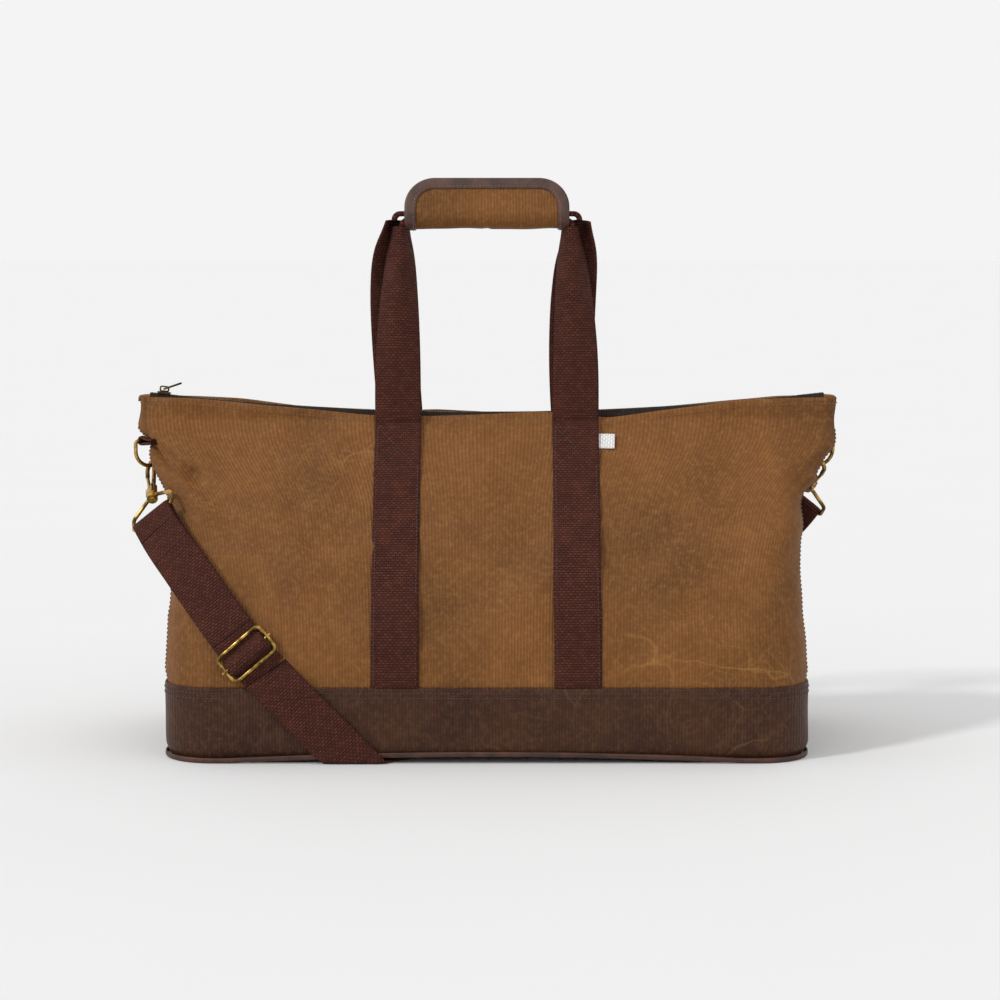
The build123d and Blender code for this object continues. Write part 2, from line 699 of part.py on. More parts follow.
def make_strap():
    """Webbing doubled from the left clip to the adjuster, then single under the base."""
    low, mid = gap + web / 2, gap + web * 1.5 + gap
    centre, across, face, _ = on_wall(adjuster_height, 0)
    along = across.cross(face)
    buckle = Plane(origin=centre, x_dir=along, z_dir=across)
    height = mid + web / 2 + gap + adjuster_wire / 2
    half = adjuster_length / 2 - adjuster_wire / 2
    flat = Plane(origin=centre + face * height, x_dir=across, z_dir=face)
    side = web_width / 2 + adjuster_room + adjuster_wire / 2
    bar_end = side + adjuster_wire
    with BuildPart() as bar:
        with BuildSketch(Plane(origin=flat.origin - across * bar_end, z_dir=across)):
            Circle(bar_radius)
        extrude(amount=2 * bar_end)
    write(bar.part, "adjuster_bar")
    with BuildPart() as frame:
        add(wire_loop(flat, [(side, -half), (side, half), (-side, half), (-side, -half)],
                      1.4 * adjuster_wire, adjuster_wire))
        add(bar.part, mode=Mode.SUBTRACT)
    write(frame.part, "adjuster_frame")
    over = height + adjuster_wire / 2 + gap + web / 2
    upper = buckle.y_dir.dot(face)
    rise = [(-hump_half, mid), (hump_step - half, mid), (-hump_flat, over), (hump_flat, over),
            (half - hump_step, mid), (half + hump_step, mid), (hump_half, low)]
    with BuildPart() as hump:
        with BuildSketch(buckle):
            with BuildLine():
                Polyline(*[(x, upper * (y + web / 2)) for x, y in rise],
                         *[(x, upper * (y - web / 2)) for x, y in reversed(rise)], close=True)
            make_face()
        extrude(amount=web_width / 2, both=True)
    write(hump.part, "strap_over_adjuster")

    toward = (on_wall(bar_centre.Z - web_width, low)[0] - bar_centre)
    toward = (toward - bar_along * bar_along.dot(toward)).normalized()
    out = bar_along.cross(toward)
    out = out if out.Y < 0 else -out
    eye = loop_wire / 2 + gap
    with BuildPart() as turn:
        with BuildSketch(Plane(origin=bar_centre, x_dir=toward, z_dir=bar_along)):
            Circle(eye + web)
            Circle(eye, mode=Mode.SUBTRACT)
            with Locations((eye + web, 0)):
                Rectangle(2 * (eye + web), 3 * (eye + web), mode=Mode.SUBTRACT)
        extrude(amount=web_width / 2, both=True)
    write_pair(turn.part, "strap_turn")
    clip = bar_along if bar_along.dot(across) > 0 else -bar_along
    steps = levels(adjuster_height + hump_half, bar_centre.Z - web_width / 2, 4)[::-1]
    over_bar = (bar_centre + out * (eye + web / 2), clip, out, web_width)
    under_bar = (bar_centre - out * (eye + web / 2), clip, out, web_width)
    hump_top = (centre + face * mid - along * (hump_half + gap), across, face, web_width)
    hump_foot = (centre + face * low + along * (hump_half + 2 * gap), across, face, web_width)
    outer = [over_bar] + [on_wall(z, mid) for z in steps] + [hump_top]
    write(ribbon(outer), "strap_outer_layer")
    inner = [under_bar] + [on_wall(z, low) for z in steps]
    inner += [(centre + face * low, across, face, web_width)]
    write(ribbon(inner), "strap_inner_layer")
    back = [over_bar] + [on_wall(z, low) for z in steps + [adjuster_height]] + floor_turn()
    down = [turned(s) for s in back]
    write(ribbon(down + floor_turn()[::-1] + [hump_foot]), "strap_main")


def make_label():
    """Blank woven label caught under the edge of the right front handle."""
    face = wall_normal(label_z)
    edge = Vector(handle_x + web_width / 2, front_y(label_z, 0), label_z)
    with BuildPart() as label:
        with BuildSketch(Plane(origin=edge, x_dir=(1, 0, 0), z_dir=face)):
            with Locations((label_width / 2, 0)):
                Rectangle(label_width, label_height)
        extrude(amount=label_thick)
    write(label.part, "side_label")


walls = make_walls()
make_base()
make_handles()
make_grip()
make_zip()
make_slider()
make_ring()
make_hook()
make_strap()
make_label()
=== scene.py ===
# %% [markdown]
# A weekender bag in waxed canvas. The hard parts (clips, rings, slider, adjuster) come from the
# CAD frame as they are. Cloth, webbing, leather and stitches are made here as surfaces that
# numpy works out on grids, because cloth has curved, slack shapes that solids only outline.

# %% Load the frame
import json
from math import asin, cos, pi, radians, sin

import bpy
import numpy as np
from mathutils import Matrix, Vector


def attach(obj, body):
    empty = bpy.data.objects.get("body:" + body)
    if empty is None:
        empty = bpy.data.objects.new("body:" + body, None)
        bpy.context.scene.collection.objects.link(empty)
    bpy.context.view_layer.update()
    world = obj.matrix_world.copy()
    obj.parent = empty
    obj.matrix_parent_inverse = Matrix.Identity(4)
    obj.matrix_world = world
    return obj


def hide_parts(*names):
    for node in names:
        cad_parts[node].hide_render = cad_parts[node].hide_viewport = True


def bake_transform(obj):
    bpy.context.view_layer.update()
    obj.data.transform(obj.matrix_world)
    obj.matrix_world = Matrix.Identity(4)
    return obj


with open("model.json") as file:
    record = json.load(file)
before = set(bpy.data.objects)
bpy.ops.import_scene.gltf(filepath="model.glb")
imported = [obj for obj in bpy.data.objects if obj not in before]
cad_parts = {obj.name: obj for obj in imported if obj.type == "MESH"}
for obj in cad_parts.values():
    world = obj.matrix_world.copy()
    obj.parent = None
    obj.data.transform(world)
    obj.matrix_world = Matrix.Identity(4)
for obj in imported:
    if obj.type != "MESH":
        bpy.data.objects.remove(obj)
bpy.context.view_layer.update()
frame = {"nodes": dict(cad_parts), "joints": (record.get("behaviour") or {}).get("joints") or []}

# %% [markdown]
# The bag's main sizes are those of the CAD model, in millimetres. A wall is described by how
# half its length, half its depth and its corner radius change with height, so that every layer
# of cloth can be worked out from the same few curves.

# %% Driving sizes, mm
base_length, base_depth, base_corner = 516.0, 230.0, 40.0
wing_length, mouth_depth = 574.0, 34.0
hem_height, hem_rise = 268.0, 17.0
lean_height, flare_height, wing_height = 70.0, 195.0, 260.0
gusset_tuck, tuck_height, top_tuck, base_tuck = 47.0, 236.0, 12.0, 1.5
canvas, lining, facing, facing_height = 2.0, 1.0, 1.2, 22.0
band_height, band_cover, floor_canvas = 60.0, 1.2, 2.4
arch_rise, arch_half = 5.2, 205.0
piping = 3.0
web_width, web, gap = 38.0, 2.2, 0.3
handle_x = 73.0
grip_length, grip_bottom, grip_top, grip_radius = 134.0, 425.0, 466.0, 12.0
grip_skin, grip_lip, grip_corner, binding_width = 1.6, 3.2, 24.0, 8.5
zip_lift, zip_half, zip_end = 4.0, 258.0, 22.0
adjuster_x, adjuster_height, hump_half = 190.0, 88.0, 22.0
fold_x, fold_radius = 104.0, 3.0
arc_radius = ((wing_length / 2) ** 2 + hem_rise**2) / (2 * hem_rise)
outside = base_depth / 2 + band_cover + piping


def ease(share):
    """Smooth step from 0 to 1: three times the square less twice the cube."""
    share = np.clip(share, 0.0, 1.0)
    return share * share * (3 - 2 * share)


def bell(offset, width):
    """Bell curve: 1 at no offset, and down to 0.37 at one width."""
    return np.exp(-((offset / width) ** 2))


def half_length(z):
    """Half the bag's length at height z: the base's, eased out to the wings'."""
    flare = ease((z - flare_height) / (wing_height - flare_height))
    return base_length / 2 + (wing_length - base_length) / 2 * flare


def half_depth(z):
    """Half the depth at height z: a quarter of a cosine from the base in to the mouth."""
    lean = np.clip((z - lean_height) / (hem_height - lean_height), 0.0, 1.0)
    return mouth_depth / 2 + (base_depth - mouth_depth) / 2 * np.cos(lean * pi / 2)


def tuck(z):
    """How far the middle of an end wall folds in: growing up to the deepest fold, then less."""
    rising = (gusset_tuck - base_tuck) * ease((z - band_height) / (tuck_height - band_height))
    share = (z - tuck_height) / (hem_height + hem_rise - tuck_height)
    falling = (gusset_tuck - top_tuck) * (1 - ease(share)) + top_tuck
    return np.where(z < tuck_height, base_tuck + rising, falling)


def hem_arc(x):
    """Height of the hem's circular arc at x."""
    return hem_height + arc_radius - np.sqrt(arc_radius**2 - x * x)


print("depth at mid height:", round(2 * float(half_depth(150.0))), "mm")

# %% [markdown]
# Cloth that has been waxed and carried never lies flat. The relief below is how far a wall
# stands proud of its plain shape: long soft swells from a few crossing sine waves whose phases
# bend each other, sharper named folds where the top corners pinch in, and the seam ridges
# at the four corners. One function gives it for all layers, so webbing, lining and stitches
# sit on the same bumps.

# %% Relief of the cloth
swells = [  # direction (x, y, z) in waves per metre, height in mm, phase
    ((5.1, 2.0, 7.3), 1.1, 0.3), ((-7.9, 3.1, 4.7), 0.9, 1.9), ((11.3, -4.0, -9.1), 0.7, 4.1),
    ((3.7, 6.0, -13.9), 0.6, 2.6), ((-16.3, 5.0, -6.1), 0.45, 5.2), ((13.0, 9.0, 19.0), 0.35, 0.9),
    ((-23.0, 7.0, 15.0), 0.22, 3.3), ((29.0, 12.0, -25.0), 0.16, 1.2)]
folds = [  # (x, z) from, (x, z) to, height in mm at each end, half width in mm
    ((-284, 250), (-240, 224), -9.0, -6.0, 7.0), ((-240, 224), (-196, 187), -6.0, 0.0, 8.0),
    ((-282, 262), (-236, 236), 3.0, 2.0, 9.0), ((-250, 205), (-205, 160), 2.6, 0.0, 12.0),
    ((238, 246), (264, 222), 3.4, 3.0, 5.0), ((264, 222), (272, 196), 3.0, 1.0, 5.0),
    ((276, 238), (246, 214), -5.0, -2.0, 7.0), ((255, 190), (205, 150), 2.4, 0.0, 13.0),
    ((-45, 258), (30, 262), 1.6, 0.6, 5.0), ((120, 225), (215, 243), 0.0, 1.8, 10.0),
    ((-180, 130), (-95, 175), 0.0, 1.8, 12.0), ((95, 120), (200, 96), 0.6, 1.8, 12.0),
    ((-50, 150), (20, 96), 0.0, 1.5, 12.0), ((-150, 238), (-98, 262), 0.3, 1.6, 6.0)]

rubbed = [  # x, z and radius of the places under the left clip and above the adjuster
    (-262, 212, 26), (-adjuster_x - 12, adjuster_height + 16, 44)]


def swell(x, y, z):
    """Sum of sine waves over space, each one's phase bent by the sum of those before it."""
    total = np.zeros(np.broadcast(x, y, z).shape)
    for (wx, wy, wz), height, phase in swells:
        turn = 2 * pi * (wx * x + wy * y + wz * z) / 1000
        total = total + height * np.sin(turn + phase + 0.9 * total)
    return total


def fold_line(x, z, start, end, low, high, width):
    """A ridge or valley: a bell across the line from start to end, fading past both ends."""
    (x0, z0), (x1, z1) = start, end
    reach = np.hypot(x1 - x0, z1 - z0)
    along = ((x - x0) * (x1 - x0) + (z - z0) * (z1 - z0)) / reach**2
    off = ((x - x0) * (z1 - z0) - (z - z0) * (x1 - x0)) / reach
    over = np.maximum(0, np.abs(along - 0.5) - 0.5) * reach
    height = low + (high - low) * np.clip(along, 0, 1)
    return height * bell(off, width) * bell(over, width)


def relief(x, y, z):
    """Height of the cloth over its plain shape: swells and folds, none proud where metal rubs."""
    turn = np.where(y < 0, 1.0, -1.0)
    total = swell(x, y, z)
    for start, end, low, high, width in folds:
        total = total + fold_line(x * turn, z, start, end, low, high, width)
    total = total * (1 - 0.75 * ease((band_height + 14 - z) / 14))
    near_adjuster = np.hypot(x * turn + adjuster_x, z - adjuster_height)
    total = total * ease((near_adjuster - 30) / 40) * ease((z - 2) / 10)
    for rub_x, rub_z, reach in rubbed:
        near = np.hypot(x * turn - rub_x, z - rub_z)
        total = np.minimum(total, total * ease((near - reach) / 30))
    return total


hem_wave_x = [-287, -245, -200, -150, -92, -47, 0, 45, 75, 98, 150, 209, 250, 287]
hem_wave = [0.2, 4.4, 4.2, 3.2, 0.4, 1.0, 3.2, 5.2, 2.4, -2.2, 2.4, 6.0, 3.8, 0.2]


def hem(x, y):
    """Height of the hem: the arc, and a slack wave that the front and back have end for end."""
    fine = np.linspace(hem_wave_x[0], hem_wave_x[-1], 400)
    wave = np.interp(fine, hem_wave_x, hem_wave)
    kernel = np.hanning(29) / np.hanning(29).sum()
    soft = np.convolve(np.pad(wave, 14, mode="edge"), kernel, "valid")
    shape = np.interp(np.where(y < 0, x, -x), fine, soft)
    return hem_arc(x) + shape

# %% [markdown]
# Going round the bag, a share of 0 is the front's middle, 1 the right end's, 2 the back's and
# 3 the left end's. A quarter of the way round is a straight wall, a round corner and half of a
# folded end, so one formula mirrored four times gives the whole outline with no seams.

# %% The wall's surface
straight_share, corner_share = 0.70, 0.79    # of a quarter, where the straight and corner end


def wall_point(turn, z, lift=0.0):
    """Point at a share of the way round and a height, lifted off the cloth: outline plus relief."""
    lap = np.mod(turn, 4.0)
    quarter = 1 - np.abs(np.mod(lap, 2.0) - 1)
    side = np.where(lap < 2, 1.0, -1.0)
    back = np.where((lap > 1) & (lap < 3), 1.0, -1.0)
    a, b = half_length(z), half_depth(z)
    r = base_corner * b / (base_depth / 2)
    run = np.clip(quarter / straight_share, 0, 1)
    arc = np.clip((quarter - straight_share) / (corner_share - straight_share), 0, 1)
    end = np.clip((quarter - corner_share) / (1 - corner_share), 0, 1)
    angle = (arc - 1) * pi / 2
    dip = tuck(z) * (0.45 * end + 0.55 * ease(end))
    x = side * ((a - r) * run + r * np.cos(angle) - dip)
    y = back * ((b - r) * (1 - end) - r * np.sin(angle))
    seam_ridge = 1.3 * bell((quarter - corner_share) * 180, 2.4) * ease((z - 62) / 10)
    proud = relief(x, y, z) + seam_ridge + lift
    waist = 1 - 0.020 * bell(z - 150, 42) * ease(x / 200)
    waist = waist - 0.006 * bell(z - 120, 40) * ease(-x / 200)
    foot = 5.0 * ease((16 - z) / 16) ** 2
    proud = proud - foot
    x = x * waist + side * np.cos(angle) * proud
    y = y + back * -np.sin(angle) * proud
    return np.stack(np.broadcast_arrays(x, y, z), axis=-1)


def front_point(x, z, lift=0.0, wall=-1):
    """Point on the front (wall -1) or back (wall 1) at x and z, lifted off the cloth."""
    flip = -wall
    reach = half_length(z) - base_corner * half_depth(z) / (base_depth / 2)
    turn = np.clip(x * flip / reach, -1, 1) * straight_share + (0 if wall < 0 else 2)
    return wall_point(turn, z, lift)


def arch(x):
    """Height of the base's underside: flat ends and a middle that bows up in a shallow arc."""
    return arch_rise * (1 - np.clip(np.abs(x) / arch_half, 0, 1) ** 2)


print("front middle at 150 mm:", front_point(np.array(0.0), np.array(150.0)).round(1))

# %% [markdown]
# Every soft piece is a closed skin: rows of points that go round a section. Where the rows
# also join end to end, as on a ring of cloth with an outside and an inside, there are no ends;
# otherwise two caps close it. A skin that comes out inside-out has a negative volume, and its
# faces are turned.

# %% Skins from grids of points
def skin(name, rows, along=None, around=None, loop=False):
    """Mesh from rows x points x 3, in mm. Each row is a closed section, and rows join in order."""
    count, ring = rows.shape[:2]
    points = rows.reshape(-1, 3) / 1000
    last = count if loop else count - 1
    i, j = np.meshgrid(np.arange(last), np.arange(ring), indexing="ij")
    i2, j2 = (i + 1) % count, (j + 1) % ring
    quads = np.stack([i * ring + j, i * ring + j2, i2 * ring + j2, i2 * ring + j], -1)
    quads = quads.reshape(-1, 4)
    p = points[quads]
    volume = np.einsum("ij,ij->", p[:, 0], np.cross(p[:, 1], p[:, 2]) + np.cross(p[:, 2], p[:, 3]))
    faces = quads.tolist()
    if not loop:
        faces += [list(range(ring))[::-1], list(range((count - 1) * ring, count * ring))]
    mesh = bpy.data.meshes.new(name)
    mesh.from_pydata(points.tolist(), [], faces)
    if along is not None:
        along = along[:, None] if along.ndim == 1 else along
        around, along = np.broadcast_arrays(around, along)
        uv = np.zeros((len(mesh.loops), 2), np.float32)
        spots = [(i, j), (i, j + 1), (i + 1, j + 1), (i + 1, j)]
        at = np.stack([np.stack([around[spot], along[spot]], -1) for spot in spots], -2)
        uv[: quads.size] = at.reshape(-1, 2) / 1000
        layer = mesh.uv_layers.new(name="cloth")
        layer.data.foreach_set("uv", uv.ravel())
    if volume < 0:
        mesh.flip_normals()
    mesh.polygons.foreach_set("use_smooth", np.ones(len(mesh.polygons), bool))
    if not loop:
        for cap in mesh.polygons[-2:]:
            cap.use_smooth = False
    mesh.validate()
    piece = bpy.data.objects.new(name, mesh)
    bpy.context.scene.collection.objects.link(piece)
    return piece


def finish_piece(piece, material, body, slot, *nodes):
    """Gives a piece its material, body and the CAD nodes that it stands for. slot is not used."""
    piece.data.materials.append(material)
    if nodes:
        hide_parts(*nodes)
    if isinstance(body, str):
        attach(piece, body)
    else:
        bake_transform(piece)
    print(f"{piece.name}: {len(piece.data.polygons)} faces")
    return piece


def steps(points):
    """Distance along a row of points, from 0."""
    gaps = np.linalg.norm(np.diff(points, axis=0), axis=1)
    return np.concatenate([[0.0], np.cumsum(gaps)])

# %% [markdown]
# Materials are small node trees. One helper adds a node, sets it and links it; colours are
# written as sRGB hex, as a dyer's card would give them, and turned to linear light here.

# %% Node and colour helpers
def linear(hex_colour):
    """sRGB hex to linear red, green, blue, alpha."""
    parts = [int(hex_colour[k : k + 2], 16) / 255 for k in (1, 3, 5)]
    return tuple(c / 12.92 if c < 0.04045 else ((c + 0.055) / 1.055) ** 2.4 for c in parts) + (1,)


def add(tree, kind, inputs=(), **settings):
    """Adds a node with its settings, and fills its inputs with values or other nodes' sockets."""
    node = tree.nodes.new("ShaderNode" + kind)
    for key, value in settings.items():
        setattr(node, key, value)
    for key, value in dict(inputs).items():
        if isinstance(value, bpy.types.NodeSocket):
            tree.links.new(value, node.inputs[key])
        else:
            node.inputs[key].default_value = value
    return node


def new_material(name, roughness, **constants):
    """A material with its shader's fixed values set, and the tree to add nodes to."""
    material = bpy.data.materials.new(name)
    material.use_nodes = True
    shader = material.node_tree.nodes["Principled BSDF"]
    shader.inputs["Roughness"].default_value = roughness
    for key, value in constants.items():
        shader.inputs[key.replace("_", " ")].default_value = value
    return material, material.node_tree, shader


def mix(tree, share, first, second):
    """Colour that goes from the first to the second."""
    return add(tree, "Mix", {0: share, 6: first, 7: second}, data_type="RGBA").outputs[2]


def ramp(tree, value, low, high, bottom=0.0, top=1.0):
    """Value stretched so that low and high become bottom and top, and held beyond them."""
    return add(tree, "MapRange", {0: value, 1: low, 2: high, 3: bottom, 4: top}).outputs[0]


def noise(tree, place, scale, detail, **more):
    """Noise over a place: its value, and its colour for pushing points about."""
    return add(tree, "TexNoise", {0: place, "Scale": scale, "Detail": detail, **more}).outputs


def cell_edges(tree, place, scale):
    """Distance to the nearest border between cells."""
    cells = add(tree, "TexVoronoi", {0: place, "Scale": scale}, feature="DISTANCE_TO_EDGE")
    return cells.outputs[0]


def calc(tree, operation, *values):
    """Arithmetic on sockets and numbers."""
    return add(tree, "Math", dict(enumerate(values)), operation=operation).outputs[0]


def surface(tree, shader, colour, height=None, strength=0.0, depth=0.0):
    """Gives a shader its colour and, where there is a height, a bump of a depth in metres."""
    tree.links.new(colour, shader.inputs["Base Color"])
    if height is not None:
        bump = add(tree, "Bump", {"Height": height, "Strength": strength, "Distance": depth})
        tree.links.new(bump.outputs[0], shader.inputs["Normal"])


def threads(tree, cloth, pitch_mm, way, wander, wander_scale):
    """Bands of threads at a pitch in mm on a map in metres, wandering a little."""
    inputs = {0: cloth, "Scale": 2 * pi / 20 / (pitch_mm / 1000), "Distortion": wander,
              "Detail": 2.0, "Detail Scale": wander_scale}
    return add(tree, "TexWave", inputs, bands_direction=way).outputs[1]

# %% [markdown]
# Waxed canvas is a dense cotton weave pressed full of wax. The eye sees fine upright ribs,
# cloudy patches where the wax lies thicker, and pale crooked lines where folding has crazed
# it. Ribs come from a banded wave on the cloth's own map, patches from noise and the crazing
# from the thin borders of stretched cells, kept to some places by more noise.

# %% Waxed canvas
rib_pitch, weft_pitch = 2.6, 1.3             # mm; the weft is drawn coarser than real


def waxed_canvas(name, dark, middle, pale, crease_strength, roughness, ribs_go="X"):
    """Cotton canvas, waxed: ribbed weave, cloudy wax and pale fold lines."""
    material, tree, shader = new_material(name, roughness, Specular_IOR_Level=0.22)
    cloth = add(tree, "UVMap", uv_map="cloth").outputs[0]
    place = add(tree, "TexCoord").outputs["Object"]
    ribs = threads(tree, cloth, rib_pitch, ribs_go, 1.5, 1.6)
    weft = threads(tree, cloth, weft_pitch, "Y" if ribs_go == "X" else "X", 1.4, 2.5)
    cloud = noise(tree, place, 9.0, 5.0, Roughness=0.62, Distortion=0.6)[0]
    speck = noise(tree, place, 260.0, 3.0, Roughness=0.7)[0]
    push = {0: noise(tree, place, 14.0, 3.0)[1], 1: (0.05, 0.05, 0.05)}
    push = add(tree, "VectorMath", push, operation="MULTIPLY").outputs[0]
    moved = add(tree, "VectorMath", {0: place, 1: push}).outputs[0]
    lines = ramp(tree, cell_edges(tree, moved, 13.0), 0.0, 0.016, 0.9, 0.0)
    fine_lines = ramp(tree, cell_edges(tree, moved, 34.0), 0.0, 0.03, 0.45, 0.0)
    crazed = calc(tree, "MAXIMUM", lines, fine_lines)
    crazed = calc(tree, "MULTIPLY", crazed, ramp(tree, noise(tree, place, 7.0, 4.0)[0], 0.54, 0.72))
    crazed = calc(tree, "MULTIPLY", crazed, crease_strength)
    colour = mix(tree, ramp(tree, cloud, 0.32, 0.70), linear(dark), linear(middle))
    colour = mix(tree, ramp(tree, speck, 0.45, 0.75, 0.0, 0.28), colour, linear(pale))
    colour = mix(tree, ramp(tree, ribs, 0.0, 0.75, 0.42, 0.0), colour, linear(dark))
    colour = mix(tree, crazed, colour, linear(pale))
    shine = ramp(tree, cloud, 0.3, 0.7, roughness + 0.08, roughness - 0.08)
    tree.links.new(shine, shader.inputs["Roughness"])
    height = calc(tree, "MULTIPLY_ADD", ribs, 0.60, crazed)
    height = calc(tree, "MULTIPLY_ADD", weft, 0.14, height)
    height = calc(tree, "MULTIPLY_ADD", speck, 0.25, height)
    surface(tree, shader, colour, height, 0.75, 0.0006)
    return material


tan_shades = ("#5E3A18", "#825224", "#B5854A")
tan_canvas = waxed_canvas("waxed_canvas_tan", *tan_shades, 0.50, 0.62)
grip_canvas = waxed_canvas("waxed_canvas_grip", *tan_shades, 0.42, 0.62, ribs_go="Y")
brown_canvas = waxed_canvas("waxed_canvas_brown", "#2C150A", "#472714", "#805A3C", 0.50, 0.52)
print("canvas materials made")

# %% [markdown]
# Cotton webbing is a thick basket weave: short floats of yarn lie side by side, each row half
# a step over. A brick pattern laid along the strap gives just that, with dark gaps for the
# yarns that dip under.

# %% Webbing
def webbing(name, yarn, light, dark):
    """Cotton webbing: staggered yarn floats 3.6 mm long and 2.1 mm wide."""
    material, tree, shader = new_material(name, 0.85, Specular_IOR_Level=0.2)
    cloth = add(tree, "UVMap", uv_map="cloth").outputs[0]
    floats = {0: cloth, "Color1": linear(yarn), "Color2": linear(light), "Mortar": linear(dark),
              "Scale": 1.0, "Mortar Size": 0.00042, "Mortar Smooth": 0.8, "Bias": -0.2,
              "Brick Width": 0.0036, "Row Height": 0.0021}
    brick = add(tree, "TexBrick", floats)
    strand = noise(tree, cloth, 1500.0, 2.0)[0]
    wear = noise(tree, cloth, 55.0, 4.0)[0]
    colour = mix(tree, ramp(tree, strand, 0.3, 0.7, 0.0, 0.35), brick.outputs[0], linear(dark))
    colour = mix(tree, ramp(tree, wear, 0.5, 0.8, 0.0, 0.35), colour, linear(light))
    height = calc(tree, "MULTIPLY_ADD", brick.outputs[1], -1.0, strand)
    surface(tree, shader, colour, height, 0.9, 0.0005)
    return material


cotton_webbing = webbing("cotton_webbing_maroon", "#4E261C", "#653628", "#25100B")
lining_cotton = webbing("lining_cotton_drill", "#8B7A5C", "#A08F6F", "#5E5038")
zip_cloth = webbing("zip_tape_herringbone", "#2A1C14", "#38281E", "#140C08")
print("woven materials made")

# %% [markdown]
# Leather for the grip's edge is a dressed, dark brown hide: small pebbles of grain with a low
# gloss. The strip along the base seam is the same hide in a redder shade, scuffed where it
# meets the ground. Brass is antiqued: a dark film fills the hollows and the metal shows
# through where hands rub it.

# %% Leather, metal, thread, label
def leather(name, dark, light, roughness):
    """Dressed leather: grain pebbles about 0.9 mm across, darker in the creases."""
    material, tree, shader = new_material(name, roughness, Coat_Weight=0.06, Coat_Roughness=0.3)
    place = add(tree, "TexCoord").outputs["Object"]
    pebble = ramp(tree, cell_edges(tree, place, 1100.0), 0.0, 0.12)
    patch = noise(tree, place, 60.0, 5.0, Roughness=0.65)[0]
    colour = mix(tree, ramp(tree, patch, 0.38, 0.72), linear(dark), linear(light))
    surface(tree, shader, colour, calc(tree, "MULTIPLY_ADD", pebble, 0.5, patch), 0.5, 0.0004)
    return material


def antique_metal(name, film, metal, roughness):
    """Antiqued brass: a dark film with brighter rubbed patches, and a faint cast grain."""
    material, tree, shader = new_material(name, roughness, Metallic=1.0)
    place = add(tree, "TexCoord").outputs["Object"]
    rub = noise(tree, place, 130.0, 5.0, Roughness=0.6)[0]
    shine = ramp(tree, rub, 0.4, 0.7, roughness + 0.15, roughness - 0.08)
    tree.links.new(shine, shader.inputs["Roughness"])
    colour = mix(tree, ramp(tree, rub, 0.40, 0.62), linear(film), linear(metal))
    surface(tree, shader, colour, noise(tree, place, 1400.0, 2.0)[0], 0.25, 0.0002)
    return material


def thread(name, dark, light):
    """Twisted polyester thread: a light and a dark ply wound round each other."""
    material, tree, shader = new_material(name, 0.55, Sheen_Weight=0.2)
    place = add(tree, "TexCoord").outputs["Object"]
    ply = ramp(tree, noise(tree, place, 900.0, 2.0)[0], 0.35, 0.65)
    surface(tree, shader, mix(tree, ply, linear(dark), linear(light)))
    return material


grip_leather = leather("leather_dark_brown", "#38211A", "#5E3B2E", 0.48)
seam_leather = leather("leather_red_brown", "#361C12", "#5C3422", 0.58)
old_brass = antique_metal("brass_antiqued", "#5A451F", "#C49F57", 0.32)
dark_brass = antique_metal("brass_antiqued_dark", "#2B2318", "#6B5634", 0.40)
tan_thread = thread("thread_tan", "#5E3A1C", "#8A5C32")
brown_thread = thread("thread_dark_brown", "#1E0F0B", "#3E241C")
white_satin = webbing("label_satin_white", "#ECEBE8", "#F4F3F0", "#DEDCD8")
black_nap = thread("hook_and_loop_black", "#141210", "#2A2724")
board_black = leather("board_black_fibre", "#141311", "#26231F", 0.7)
print(len(bpy.data.materials), "materials")

# %% [markdown]
# The body is one lofted shell of canvas. Its outside and inside are the same surface two
# millimetres apart, joined over the hem by a rounded edge. Rows are closer near the hem,
# where the slack wave and the folds are.

# %% Canvas body
def ring_layer(low, high, outer, inner, count, round_count, edge=3):
    """Closed ring of cloth between two heights: outside rows up, a rounded hem, inside rows down.

    low and high are functions of x and y; outer and inner are lifts off the wall's face."""
    turn = np.linspace(0, 4, round_count, endpoint=False)[None, :]
    share = np.linspace(0, 1, count)[:, None]
    middle, half = (outer + inner) / 2, (outer - inner) / 2
    bend = np.linspace(0, pi, edge + 2)[1:-1, None]
    shares = np.concatenate([share, np.ones((edge, 1)), share[::-1]])
    lifts = np.concatenate([np.full((count, 1), outer), middle + half * np.cos(bend),
                            np.full((count, 1), inner)])
    rises = np.concatenate([np.zeros((count, 1)), half * np.sin(bend), np.zeros((count, 1))])
    guess = wall_point(turn, np.full_like(turn, hem_height), 0.0)
    top = high(guess[..., 0], guess[..., 1])
    foot = low(guess[..., 0], guess[..., 1])
    z = foot + (top - foot) * shares + rises
    points = wall_point(turn, z, lifts)
    around = np.append(steps(wall_point(turn[0], np.full(round_count, 150.0))), 0)
    around[-1] = around[-2] + around[1]
    along = np.append(steps(points[:, 0]), 0)
    return points, along, around


def bottom_edge(lift):
    """Lower edge of a wall: the arch of the base, raised by lift."""
    return lambda x, y: arch(x) + lift


body_rows = ring_layer(bottom_edge(floor_canvas), hem, 0.0, -canvas, 92, 480)
finish_piece(skin("canvas_body", *body_rows, loop=True), tan_canvas, "bag", "waxed_canvas",
             "front_panel", "back_panel", "end_panel_left", "end_panel_right")

# %% [markdown]
# Inside, a cotton lining hangs from a turned-in hem of canvas. Both are rings like the body's,
# a hair's breadth further in.

